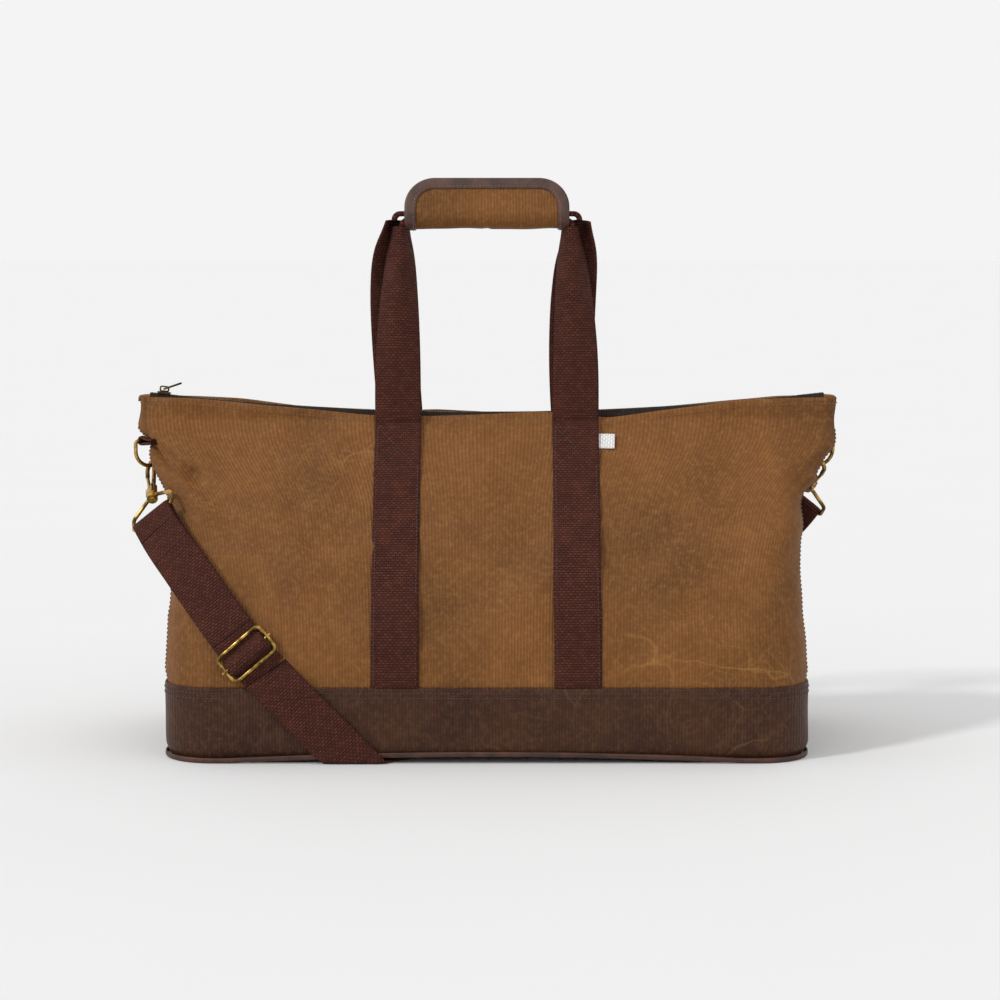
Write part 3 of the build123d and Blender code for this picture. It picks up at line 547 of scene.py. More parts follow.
# %% Lining and turned-in hem
far = canvas + 0.15
lining_rows = ring_layer(bottom_edge(floor_canvas + 2.6), lambda x, y: hem(x, y) - facing_height,
                         -far, -far - lining, 40, 300)
finish_piece(skin("lining", *lining_rows, loop=True), lining_cotton, "bag", "cotton_lining",
             "lining_front", "lining_back", "lining_end_left", "lining_end_right")
facing_rows = ring_layer(lambda x, y: hem(x, y) - facing_height + 0.4, lambda x, y: hem(x, y) - 0.3,
                         -far, -far - facing, 10, 400)
finish_piece(skin("hem_turned_in", *facing_rows, loop=True), tan_canvas, "bag", "waxed_canvas",
             "hem_facing_front", "hem_facing_back")

# %% [markdown]
# The base wears a band of dark waxed canvas outside the body, and a leather strip folded over
# the seam where the band meets the bottom panel. The bottom panel bows up in the middle as the
# ends take the weight.

# %% Base band, bottom seam strip and bottom panel
band_rows = ring_layer(bottom_edge(0.3), lambda x, y: band_height + 0 * x, band_cover + 0.9, 0.15,
                       26, 480)
finish_piece(skin("base_band", *band_rows, loop=True), brown_canvas, "bag", "base_canvas",
             "base_band")


def seam_strip(turn, angle):
    """Half-round strip hugging the bottom edge: a flattened bead carried round the base."""
    flat = wall_point(turn, np.full_like(turn, 8.0), band_cover)
    height = arch(flat[..., 0]) + 2.4 + 2.1 * np.sin(angle)
    lift = band_cover + 0.9 + (piping - 1.2) * 0.55 * (1 + np.cos(angle))
    return wall_point(turn, height, lift + 3.2 * ease((16 - height) / 16) ** 2)


turn = np.linspace(0, 4, 360, endpoint=False)[None, :]
angle = np.linspace(0, 2 * pi, 12, endpoint=False)[:, None]
strip_rows = seam_strip(turn, angle)
strip = skin("bottom_seam_strip", strip_rows, loop=True)
finish_piece(strip, seam_leather, "bag", "binding_leather", "base_piping")


def plate(depth, low, thick, count=14):
    """Plate that fills the base's outline moved in by depth: rings shrinking to its middle."""
    turn = np.linspace(0, 4, 200, endpoint=False)[None, :]
    rim = wall_point(turn, np.full_like(turn, 20.0), -depth)
    share = np.linspace(1, 0, count)[:, None]
    x, y = rim[..., 0] * share, rim[..., 1] * share
    under = np.stack([x, y, arch(x) + low], -1)[::-1]
    over = np.stack([x, y, arch(x) + low + thick], -1)
    return np.concatenate([under, over])


panel_rows = plate(3.4, 0.4, floor_canvas - 0.4)
panel_around = np.append(steps(panel_rows[-1]), 0)
panel = skin("bottom_panel", panel_rows, steps(panel_rows[:, 0]), panel_around)
finish_piece(panel, brown_canvas, "bag", "base_canvas", "base_panel")

# %% [markdown]
# Webbing is one function: a flat strip carried along stations, each with a middle, a direction
# across and a face. It can also fold in half lengthwise: the strip's own curve is the sum of
# short steps whose heading swings from one side to the other, so it keeps its true width.

# %% Webbing strips
def web_rows(middle, across, face, width=web_width, fold=0.0, thick=web, points=15):
    """Closed sections of webbing, and its map. fold is each half's turn, in radians.

    A section cut at a slant to the strip is longer by one over the sine of the slant."""
    count = len(middle)
    share = np.linspace(-1, 1, points)
    fold = np.broadcast_to(fold, (count,))[:, None]
    heading = fold * np.tanh(share * 4) / np.tanh(4)
    path = np.gradient(middle, axis=0)
    path /= np.linalg.norm(path, axis=1)[:, None]
    slant = (across * path).sum(1)
    longer = 1 / np.sqrt(1 - slant**2)
    step = np.full(points, width / (points - 1))
    step[0] = 0
    mid = (points - 1) // 2
    side = np.cumsum(np.cos(heading) * step, axis=1)
    sink = np.cumsum(-np.sin(heading) * step, axis=1)
    side, sink = side - side[:, mid : mid + 1], sink - sink[:, mid : mid + 1]
    half = thick / 2 * (1 - 0.45 * np.abs(share) ** 10)
    out_side, out_sink = np.sin(heading), np.cos(heading)
    over = (side + out_side * half, sink + out_sink * half)
    under = (side - out_side * half, sink - out_sink * half)
    s = np.concatenate([over[0], under[0][:, ::-1]], 1)[..., None] * longer[:, None, None]
    d = np.concatenate([over[1], under[1][:, ::-1]], 1)[..., None]
    rows = middle[:, None] + s * across[:, None] + d * face[:, None]
    flat = share * width / 2
    around = np.concatenate([flat, flat[::-1], flat[:1]])
    along = steps(middle)[:, None] + around[None, :] * (longer * slant)[:, None]
    return rows, along, around


def frames(middle, across):
    """Unit across and face directions for stations, square to the path and to each other."""
    along = np.gradient(middle, axis=0)
    along /= np.linalg.norm(along, axis=1)[:, None]
    across = np.broadcast_to(across, middle.shape)
    across = across - along * (across * along).sum(1)[:, None]
    across /= np.linalg.norm(across, axis=1)[:, None]
    return across, np.cross(across, along)


def web_strip(name, middle, across, **shape):
    """A webbing piece along a path."""
    side, face = frames(middle, across)
    return skin(name, *web_rows(middle, side, face, **shape))

# %% [markdown]
# Each handle leg is sewn flat to the wall from the band to the hem. Above it the leg is free:
# it stays flat for a while, then folds in half lengthwise as it reaches the grip, and turns
# over into the wrap.

# %% Handles
def sewn_leg(wall, x):
    """Stretch of webbing on the wall: it follows the cloth's relief, lifted by half itself."""
    z = np.linspace(band_height + 0.6, hem(np.array(x), np.array(1.0 * wall)) - 4.0, 90)
    middle = front_point(np.full_like(z, x), z, web / 2 + 0.1, wall)
    return middle


leg_top = {-1: grip_bottom + grip_radius - 2.2 * web, 1: grip_bottom + grip_radius + 0.2 * web}
leg_out = {-1: grip_length / 2 + 1.6 * web, 1: grip_length / 2 + 4.4 * web}
turn_over = 5.0                       # radius of the webbing's turn into the grip
half_fold = 9.2                       # half the folded webbing's width
leg_fold = {-1: ([0, 0.3, 0.6, 0.86, 1], [0, 16, 40, 62, 84]),   # share of rise, degrees
            1: ([0, 0.55, 0.8, 0.92, 1], [0, 6, 28, 58, 84])}


def free_leg(wall, side, start, count=70):
    """Path from the hem up to the grip: eased sideways and to the middle, bowed out a little."""
    foot_z, top_z = start[2], leg_top[wall] - turn_over
    rise = np.linspace(0, 1, count)
    z = foot_z + (top_z - foot_z) * rise
    bow = np.sin(pi * rise)
    x = start[0] + (side * leg_out[wall] - start[0]) * ease(rise)
    x = x + bow * (-3.5 if wall > 0 else 1.0 * side)
    y = start[1] * (1 - ease(rise)) + wall * (half_fold * ease(rise) + 3.0 * bow)
    return np.stack([x, y, z], -1)


for wall, where in ((-1, "front"), (1, "back")):
    for side, name in ((-1, "left"), (1, "right")):
        sewn = sewn_leg(wall, side * handle_x)
        finish_piece(web_strip(f"handle_sewn_{where}_{name}_web", sewn, (1, 0, 0)), cotton_webbing,
                     "bag", "webbing", f"handle_sewn_{where}_{name}")
        free = free_leg(wall, side, sewn[-1])
        rise = np.linspace(0, 1, len(free))
        fold = np.interp(rise, *leg_fold[wall])
        fold = np.radians(np.convolve(np.pad(fold, 5, mode="edge"), np.full(11, 1 / 11), "valid"))
        across = (1, 0, 0) if wall < 0 else (-1, 0, 0)
        piece = web_strip(f"handle_leg_{where}_{name}_web", free, across, fold=fold)
        bend = ("bag", "grip", (0, 0, 0.266), (0, 0, grip_bottom / 1000))
        finish_piece(piece, cotton_webbing, bend, "webbing", f"handle_leg_{where}_{name}")

# %% [markdown]
# Inside the grip the two handles lie one on the other, still folded. Each run comes up in line
# with its legs, turns over through a right angle and crosses the grip's middle.

# %% Handle runs inside the grip
def run_path(wall):
    """Up, a quarter circle, across, a quarter circle, and down."""
    reach, top, r = leg_out[wall], leg_top[wall], turn_over
    bend = np.linspace(0, pi / 2, 9)
    left = np.stack([-reach + r * (1 - np.cos(bend)), np.zeros(9), top - r + r * np.sin(bend)], -1)
    over = np.linspace(-reach + r, reach - r, 20)[1:-1]
    middle = np.stack([over, np.zeros(18), np.full(18, top)], -1)
    right = left[::-1] * (-1, 1, 1)
    foot = left[:1] - (0, 0, 0.5)
    return np.concatenate([foot, left, middle, right, foot * (-1, 1, 1)])


for wall, where in ((-1, "front"), (1, "back")):
    path = run_path(wall)
    piece = web_strip(f"handle_run_{where}_web", path, (0, 1, 0), width=18.4, thick=2 * web)
    finish_piece(piece, cotton_webbing, "grip", "webbing", f"handle_run_{where}")

# %% [markdown]
# The grip is a padded canvas wrap, cut as a rectangle with round corners and folded round the
# runs so that its two long edges meet on top. Its end view is a teardrop. Points are placed on
# the flat cut first, by distance along and across, and then rolled onto the teardrop, so that
# the leather binding and the stitches can be drawn on the flat and follow.

# %% Grip: flat cut rolled onto a teardrop
grip_centre = grip_bottom + grip_radius
lean = asin((grip_radius - grip_lip) / np.hypot(grip_top - grip_centre, grip_radius - grip_lip)) / 2
round_length = grip_radius * (pi / 2 + lean)
tangent = np.array([grip_radius * cos(lean), grip_centre + grip_radius * sin(lean)])
lip = np.array([grip_lip, grip_top])
half_cut = round_length + np.linalg.norm(lip - tangent)


def roll(x, t, lift=0.0):
    """Point of the flat cut at x along and t across (0 under the grip), rolled and lifted."""
    far_round = np.clip(np.abs(t), 0, round_length) / grip_radius
    rest = np.clip((np.abs(t) - round_length) / (half_cut - round_length), 0, None)
    angle = far_round - pi / 2
    y = grip_radius * np.cos(angle) + (lip[0] - tangent[0]) * rest
    z = grip_centre + grip_radius * np.sin(angle) + (lip[1] - tangent[1]) * rest
    puff = 0.45 * np.sin(x / 13.0 + 0.05 * t) * bell(t, 22)
    puff = puff + 0.15 * np.sin(x / 5.3 + 1.3) * bell(t, 9)
    puff = puff - 1.1 * bell(x - 0.12 * t, 2.6) * bell(np.abs(t) - 6, 9) * ease((t + 20) / 20)
    soft = 1 - ease((np.abs(x) - grip_length / 2 + 14) / 14)
    grow = lift + puff * soft + 0.9 * soft * np.sin(np.clip(np.abs(t) / half_cut, 0, 1) * pi)
    y, z = y + grow * np.cos(angle), z + grow * np.sin(angle)
    return np.stack(np.broadcast_arrays(x, np.sign(t) * y, z), -1)


def cut_edge(share, inset):
    """Outline of the flat cut, moved in: a rectangle whose four corners are quarter circles."""
    a, b, r = grip_length / 2 - inset, half_cut - inset, grip_corner - inset
    lengths = np.array([2 * (b - r), pi / 2 * r, 2 * (a - r), pi / 2 * r] * 2)
    ends = np.cumsum(lengths)
    x, t = np.zeros_like(share), np.zeros_like(share)
    distance = np.mod(share, 1.0) * ends[-1]
    corners = [(1, 1, 0), (-1, 1, pi / 2), (-1, -1, pi), (1, -1, 3 * pi / 2)]
    for k, (cx, ct, turned) in enumerate(corners):
        before = 0 if k == 0 else ends[2 * k - 1]
        straight = (distance >= before) & (distance < ends[2 * k])
        go = distance - before - lengths[2 * k]
        x = np.where(straight, cx * (a - r) + r * np.cos(turned) - np.sin(turned) * go, x)
        t = np.where(straight, ct * (b - r) + r * np.sin(turned) + np.cos(turned) * go, t)
        curved = (distance >= ends[2 * k]) & (distance <= ends[2 * k + 1])
        angle = turned + (distance - ends[2 * k]) / r
        x = np.where(curved, cx * (a - r) + r * np.cos(angle), x)
        t = np.where(curved, ct * (b - r) + r * np.sin(angle), t)
    return x, t


def wrap_sheet(name, lift, thick):
    """The wrap as a grid along x and across t, the grid's ends drawn in to the round corners."""
    along = np.linspace(-1, 1, 121)
    x = grip_length / 2 * np.sin(along * pi / 2 * 0.98) / sin(pi / 2 * 0.98)
    inner = np.clip(np.abs(x) - (grip_length / 2 - grip_corner), 0, grip_corner)
    reach = half_cut - grip_corner + np.sqrt(np.maximum(grip_corner**2 - inner**2, 0.0))
    t = np.linspace(-1, 1, 81)[None, :] * reach[:, None]
    x = np.broadcast_to(x[:, None], t.shape)
    over, under = roll(x, t, lift), roll(x, t, lift - thick)
    rows = np.concatenate([over, under[:, ::-1]], 1)
    flat = np.linspace(-half_cut, half_cut, 81)
    around = np.concatenate([flat, flat[::-1], flat[:1]])
    return skin(name, rows, x[:, 0] + grip_length, around)


wrap = finish_piece(wrap_sheet("grip_wrap_padded", 0.0, grip_skin), grip_canvas, "grip",
                    "waxed_canvas", "grip_wrap")

# %% [markdown]
# A leather strip is folded over the wrap's raw edge and stitched down. Its section is carried
# round the outline of the flat cut and rolled with it.

# %% Leather binding of the grip
def binding_rows(count=420, low=-0.7, high=1.15):
    """A strip along the cut's edge: its section is a flat bead that wraps the raw edge."""
    share = np.linspace(0, 1, count, endpoint=False)
    section = [(-0.5, low), (-1.1, 0.2), (-0.6, high - 0.2), (0.6, high), (4.0, high + 0.12),
               (binding_width - 0.8, high), (binding_width, high - 0.55), (binding_width, low)]
    rows = []
    for inset, lift in section:
        x, t = cut_edge(share, inset)
        rows.append(roll(x, t, lift))
    return np.stack(rows)


finish_piece(skin("grip_binding_leather", binding_rows(), loop=True), grip_leather, "grip",
             "binding_leather", "grip_binding")

# %% [markdown]
# The zip's chain stands a little above the hem on its own arc, the line that the slider runs
# along. Each tooth is a small stamped lug with a bump on its head; the two rows alternate by
# half a pitch. Woven tape joins each row to the hem.

# %% Zip tapes and teeth
chain_height = hem_height + zip_lift
tooth_pitch = 2.0
tooth_outline = np.array([(3.2, -1.2), (3.2, 1.2), (1.5, 1.2), (0.45, 0.7), (0.45, -0.7),
                          (1.5, -1.2)])


def chain_point(x, y, lift):
    """Point beside and above the chain's arc at x."""
    turn = np.arcsin(x / arc_radius)
    z = chain_height + arc_radius - np.sqrt(arc_radius**2 - x * x)
    return np.stack(np.broadcast_arrays(x - lift * np.sin(turn), y, z + lift * np.cos(turn)), -1)


def many(name, shapes, faces, material, body, slot, *nodes):
    """One piece from repeated small shapes: shapes is count x corners x 3, in mm."""
    count, corners = shapes.shape[:2]
    every = [[v + k * corners for v in face] for k in range(count) for face in faces]
    mesh = bpy.data.meshes.new(name)
    mesh.from_pydata((shapes.reshape(-1, 3) / 1000).tolist(), [], every)
    mesh.validate()
    piece = bpy.data.objects.new(name, mesh)
    bpy.context.scene.collection.objects.link(piece)
    return finish_piece(piece, material, body, slot, *nodes)


def teeth(side, start, end):
    """A row of lugs from start to end on one side of the chain, as corner points."""
    first = np.ceil(start / tooth_pitch) * tooth_pitch + (0.5 * tooth_pitch if side > 0 else 0.0)
    x = np.arange(first + 0.4, end - 0.4, tooth_pitch)[:, None]
    across = side * tooth_outline[None, :, 0]
    layers = [chain_point(x + off, across, tooth_outline[None, :, 1]) for off in (-0.55, 0.55)]
    return np.concatenate(layers, 1)


lug_faces = [(5, 4, 3, 2, 1, 0), (6, 7, 8, 9, 10, 11)]
lug_faces += [(k, (k + 1) % 6, 6 + (k + 1) % 6, 6 + k) for k in range(6)]
mirror_faces = [face[::-1] for face in lug_faces]


def tape_rows(side, start, end, count=120):
    """Tape from the teeth out and down to the hem, with a corded edge under the teeth."""
    x = np.linspace(start, end, count)
    y = side * np.array([3.1, 5.0, 8.0, 11.0, 13.4, 13.4, 11.0, 8.0, 5.0, 3.1])[None, :]
    drop = np.array([0.9, 0.45, -1.0, -2.6, -4.4, -5.0, -3.2, -1.6, -0.2, -0.9])[None, :]
    slack = 0.5 * np.sin(x / 21.0 + 1.5 * side)[:, None] * bell(np.abs(y) - 8, 4)
    rows = chain_point(x[:, None], y, drop + slack)
    around = np.array([0, 2, 5, 8, 10.6, 11.2, 8, 5, 2, 0, 0.0])
    return rows, x - x[0], around


for side, name in ((-1, "front"), (1, "back")):
    faces = mirror_faces if side > 0 else lug_faces
    many(f"zip_row_{name}", teeth(side, -zip_half + 0.5, zip_half - 0.5), faces, dark_brass,
         f"zip_{name}", "antique_brass", f"zip_teeth_{name}")
    strip = skin(f"zip_tape_{name}_cloth", *tape_rows(side, -zip_half, zip_half))
    hinge = side * (mouth_depth / 2 - canvas - facing)
    bend = ("bag", f"zip_{name}", (0, hinge / 1000, 0.2655), (0, side * 0.0045, 0.2725))
    finish_piece(strip, zip_cloth, bend, "zip_tape", f"zip_tape_{name}")
for side, name in ((-1, "left"), (1, "right")):
    start, end = sorted((side * zip_half, side * (zip_half + zip_end)))
    for row, faces in ((-1, lug_faces), (1, mirror_faces)):
        which = "front" if row < 0 else "back"
        many(f"zip_end_teeth_{name}_{which}", teeth(row, start, end), faces, dark_brass, "bag",
             "antique_brass", f"zip_end_{name}")
        strip = skin(f"zip_end_tape_{name}_{which}", *tape_rows(row, start, end, 14))
        finish_piece(strip, zip_cloth, "bag", "zip_tape", f"zip_end_{name}")

# %% [markdown]
# Past each end of the zip the mouth is closed by a folded tab of canvas.

# %% End tabs of the mouth
def tab_rows(side, start=279.0, end=288.5, count=8):
    """Small folded pillow across the mouth, from the zip's end to the end wall's hem."""
    share = np.linspace(0, 1, count)
    angle = np.linspace(0, 2 * pi, 24, endpoint=False)[None, :]
    width = (10.5 - 1.5 * share)[:, None]
    x = (start + (end - start) * share)[:, None] - 276.0
    shape = chain_point(np.full_like(angle, side * 276.0) + side * x,
                        width * np.sign(np.cos(angle)) * np.abs(np.cos(angle)) ** 0.5,
                        -3.2 + 2.6 * np.sin(angle) - 1.6 * share[:, None] ** 2)
    return shape, x[:, 0], np.append(np.linspace(0, 44, 24), 0)


for side, name in ((-1, "left"), (1, "right")):
    finish_piece(skin(f"mouth_tab_{name}", *tab_rows(side)), tan_canvas, "bag", "waxed_canvas")

# %% [markdown]
# The shoulder strap hangs from its left clip down the front, folds under the base on a slant,
# crosses below the bag and climbs the back to the right clip. From the clip to the adjuster it
# is doubled. A strap that folds over a level edge bends along lines level with that edge, so
# its sections turn from square to level on the way down and the strip stays flat and straight.

# %% Strap: where it runs
joints = {joint["name"]: joint for joint in frame["joints"]}
swivel = 1000 * np.array(joints["loop_left_swivel"]["pos_m"])
hook_up = np.array(joints["loop_left_swivel"]["axis"])
ring_top = 1000 * np.array(joints["ring_left_swing"]["pos_m"])
ring_along = np.array(joints["ring_left_swing"]["axis"])
loop_reach, loop_wire, ring_wire = 26.0, 3.2, 3.2
bar_guess = np.array([0.756, -0.254, 0.603])
bar_along = bar_guess - hook_up * (bar_guess @ hook_up)
bar_along /= np.linalg.norm(bar_along)
bar = swivel - hook_up * loop_reach
low, mid = gap + web / 2, 2 * gap + 1.5 * web
adjuster_wire, adjuster_length = 3.2, 27.0
strap_slope = 1.42                     # length of strap for each mm of height
over_bar_lift = mid + 2 * (web / 2 + gap) + adjuster_wire * 1.5


def strap_x(z):
    """X of the strap's middle at height z: two straight runs that meet softly at the adjuster."""
    fine = np.linspace(0, bar[2], 300)
    straight = np.interp(fine, [0, adjuster_height, bar[2]], [-fold_x, -adjuster_x, bar[0]])
    kernel = np.hanning(61) / np.hanning(61).sum()
    ends = np.pad(straight, 30, mode="reflect", reflect_type="odd")
    return np.interp(z, fine, np.convolve(ends, kernel, "valid"))


def strap_on_wall(z, lift):
    """Strap middle on the front at height z: off the wall's face by lift, and off the band."""
    x = strap_x(z)
    bump = np.maximum(relief(x, -half_depth(z), z), 0) * ease((x + 262) / 30)
    face = half_depth(z) + bump + lift
    band = outside + gap + web / 2
    share = ease((band_height + 18 - z) / 18)
    return np.stack([x, -(face + (np.maximum(band, face) - face) * share), z], -1)


def curve_between(start, start_way, end, end_way, count):
    """Cubic that leaves start along one direction and reaches end along another."""
    t = np.linspace(0, 1, count)[:, None]
    reach = np.linalg.norm(end - start) * 0.4
    b, c = start + start_way * reach, end - end_way * reach
    return (1 - t) ** 3 * start + 3 * (1 - t) ** 2 * t * b + 3 * (1 - t) * t**2 * c + t**3 * end


wall_z = bar[2] - 46.0                 # the strap meets the front wall about here
aim = strap_on_wall(np.array(wall_z + 12), low) - bar
aim = aim - bar_along * (aim @ bar_along)
aim /= np.linalg.norm(aim)
out = np.cross(bar_along, aim)
out = out if out[1] < 0 else -out
turn_radius = loop_wire / 2 + gap + web / 2


def hanging(lift, side):
    """From the loop's bar down to where the strap meets the wall. side is +1 outside, -1 inside."""
    z = np.array([wall_z, wall_z - 1.0])
    a, b = strap_on_wall(z, lift)
    way = (b - a) / np.linalg.norm(b - a)
    return curve_between(bar + out * turn_radius * side, aim, a, way, 26)


def around_bar():
    """Half circle over the loop's bar, from its inner to its outer side."""
    angle = np.linspace(pi, 0, 15)[:, None]
    return bar + turn_radius * (np.cos(angle) * out - np.sin(angle) * aim)


def adjuster_lift(run):
    """Height over the wall near the adjuster: doubled, over its bar, then single below it."""
    half = adjuster_length / 2 - adjuster_wire / 2
    spots = [-hump_half, 2.2 - half, -2.6, 2.6, half - 3.4, half + 2.6, hump_half]
    lifts = [mid, mid, over_bar_lift, over_bar_lift, mid, mid, low]
    return np.interp(run, spots, lifts)


def strap_run(z_from, z_to, lift, count):
    """Strap on the wall between two heights, at a lift that may be a function of the run."""
    z = np.linspace(z_from, z_to, count)
    run = (adjuster_height - z) * strap_slope
    return strap_on_wall(z, lift(run) if callable(lift) else lift)


print("strap bar at", bar.round(1), "aim", aim.round(2))

# %% [markdown]
# The strap's upper end is cut across into short lengths: the turn over the loop's bar, the
# next below it, and the next down to the wall.
# Neighbours share a section, so no gap opens.

# %% Strap: pieces
def strap_across(path):
    """Across direction: the loop's bar at the top, turning to lie in the wall's face below."""
    way = np.gradient(path, axis=0)
    flat = np.stack([-way[:, 2], 0 * way[:, 2], way[:, 0]], -1)
    flat /= np.linalg.norm(flat, axis=1)[:, None]
    flat *= np.sign(flat @ bar_along)[:, None]
    share = ease((bar[2] - 8 - path[:, 2]) / (bar[2] - 8 - wall_z))[:, None]
    return bar_along * (1 - share) + flat * share


def strap_piece(name, middle, across, body, turned, *nodes, level=None):
    """A length of strap; turned puts it at the back's far end, half a turn round the bag."""
    side, face = frames(middle, across)
    if level is not None:
        cut = side * (1 - level)[:, None] + np.array([1.0, 0, 0]) * level[:, None]
        side = cut / np.linalg.norm(cut, axis=1)[:, None]
    rows, along, around = web_rows(middle, side, face)
    if turned:
        rows = rows * (-1, -1, 1)
    return finish_piece(skin(name, rows, along, around), cotton_webbing, body, "webbing", *nodes)


def blend_over(a, b, start, end, turned):
    """Two bodies with a start and an end in metres, given half a turn round the bag when turned."""
    flip = np.array([-1, -1, 1]) if turned else np.ones(3)
    return a, b, tuple(start * flip / 1000), tuple(end * flip / 1000)


hump_z = adjuster_height + hump_half / strap_slope + 8      # the two layers part here
inner, outer = hanging(low, -1), hanging(mid, 1)
cut_a, cut_b = 5, 14
for turned, name in ((False, "left"), (True, "right")):
    hook, ring, loop = f"hook_{name}", f"ring_{name}", f"loop_{name}"
    outside_layer = hanging(low, 1) if turned else outer
    head = np.concatenate([inner[: cut_a + 1][::-1], around_bar()[1:-1],
                           outside_layer[: cut_a + 1]])
    strap_piece(f"strap_head_{name}", head, strap_across(head),
                blend_over(loop, hook, bar, outer[cut_a], turned), turned, f"strap_turn_{name}")
    layers = [("outer", outside_layer)] if turned else [("outer", outer), ("inner", inner)]
    for layer, path in layers:
        lift = low if turned or layer == "inner" else mid
        wall_run = strap_run(wall_z, hump_z, lift, 30)[1:]
        neck = path[cut_a : cut_b + 1]
        strap_piece(f"strap_neck_{layer}_{name}", neck, strap_across(neck),
                    blend_over(hook, ring, outer[cut_a], outer[cut_b], turned), turned)
        tail = np.concatenate([path[cut_b:], wall_run[:14]])
        strap_piece(f"strap_shoulder_{layer}_{name}", tail, strap_across(tail),
                    blend_over(ring, "bag", outer[cut_b], wall_run[13], turned), turned)
for layer, lift, node in (("outer", mid, "strap_outer_layer"), ("inner", low, "strap_inner_layer")):
    path = strap_run(wall_z, hump_z, lift, 30)[14:]
    stop, count = (hump_z - 8, 5) if layer == "outer" else (adjuster_height + 2, 16)
    path = np.concatenate([path, strap_run(hump_z, stop, lift, count)[1:]])
    strap_piece(f"strap_double_{layer}", path, strap_across(path),
                ("bag", "adjuster", tuple(path[0] / 1000), tuple(path[16] / 1000)), False, node)
bar_run = strap_run(adjuster_height + hump_half / strap_slope,
                    adjuster_height - hump_half / strap_slope, adjuster_lift, 60)
strap_piece("strap_over_bar", bar_run, strap_across(bar_run), "adjuster", False,
            "strap_over_adjuster")


def fold_under(start_z, count=40):
    """Down the front from start_z, round the base's foot, to flat on the ground."""
    z = np.linspace(start_z, fold_radius + web, count)
    down = strap_on_wall(z, low)
    angle = radians(90) * np.linspace(0, 1, 12)[1:]
    reach = outside + gap + web / 2
    y = -reach + fold_radius * (1 - np.cos(angle))
    height = web / 2 + fold_radius * (1 - np.sin(angle))
    x = strap_x(height) + 0.0 * y
    return np.concatenate([down, np.stack([x, y, height], -1)])


front_down = fold_under(adjuster_height - hump_half / strap_slope)
level_front = ease((adjuster_height - 6 - front_down[:, 2]) / 40)
cut = 12
strap_piece("strap_below_adjuster", front_down[: cut + 1], (1, 0, 0),
            ("adjuster", "bag", tuple(front_down[0] / 1000), tuple(front_down[cut] / 1000)), False,
            level=level_front[: cut + 1])
back_down = fold_under(wall_z + (hump_z - wall_z) * 13 / 29, 60) * (-1, -1, 1)
level_back = ease((adjuster_height - 6 - back_down[:, 2]) / 40)
under = np.linspace(front_down[-1], back_down[-1], 30)[1:-1]
long_run = np.concatenate([front_down[cut:], under, back_down[::-1]])
level_all = np.concatenate([level_front[cut:], np.ones(28), level_back[::-1]])
strap_piece("strap_long_run", long_run, (1, 0, 0), "bag", False, "strap_main", level=level_all)

# %% [markdown]
# Small sewn-on things: the webbing tabs that hold the D-rings, caught in the corner seams, and
# a plain woven label caught under the edge of a handle. The label is left bare.

# %% Ring tabs and side label
def tab_path(reach=20.0, count=16):
    """In from the wall, round the ring's straight bar, and back into the wall."""
    inward = np.cross(ring_along, (0, 0, 1.0))
    up = np.array([0, 0, 1.0])
    r = ring_wire / 2 + gap + web / 2
    angle = np.linspace(radians(62), radians(298), count)[:, None]
    arc = ring_top + r * (np.cos(angle) * inward + np.sin(angle) * up)
    far = [ring_top + inward * d + up * h for d, h in ((reach, 1.25), (reach / 2, 1.5))]
    back = [ring_top + inward * d - up * h for d, h in ((reach / 2, 1.5), (reach, 1.25))]
    return np.concatenate([far, arc, back])


for turned, name in ((False, "left"), (True, "right")):
    flip = (-1, -1, 1) if turned else (1, 1, 1)
    side, face = frames(tab_path(), ring_along)
    rows, along, around = web_rows(tab_path(), side, face, width=20.6)
    finish_piece(skin(f"ring_tab_{name}_web", rows * flip, along, around), cotton_webbing, "bag",
                 "webbing", f"ring_tab_{name}")

label_z, label_height, label_thick = 251.0, 14.0, 0.8
leg_edge = handle_x + web_width / 2
label_run = np.linspace(leg_edge - 3, leg_edge + 13.0, 14)
label_lift = 1.2 + 1.4 * ease((label_run - label_run[0]) / 16) ** 2
label_path = front_point(label_run, np.full(14, label_z), label_lift)
label_top = front_point(label_run, np.full(14, label_z + label_height / 2))
label_foot = front_point(label_run, np.full(14, label_z - label_height / 2))
side, face = frames(label_path, label_top - label_foot)
rows, along, around = web_rows(label_path, side, face, width=label_height, thick=label_thick,
                               points=9)
finish_piece(skin("side_label_blank", rows, along, around), white_satin, "bag", "label_cloth",
             "side_label")

# %% [markdown]
# Stitches are real lengths of thread, not lines in a texture: each is a small spindle lying in
# its dimple. A row of them is placed by walking a path at the stitch length.

# %% Stitch rows
spindle = ((-0.5, 0.3, -0.3), (-0.25, 1.0, 0.25), (0.25, 1.0, 0.25), (0.5, 0.3, -0.3))
stitch_faces = [(0, 1, 2, 3, 4), (19, 18, 17, 16, 15)]
stitch_faces += [(5 * k + j, 5 * k + 5 + j, 5 * k + 5 + (j + 1) % 5, 5 * k + (j + 1) % 5)
                 for k in range(3) for j in range(5)]


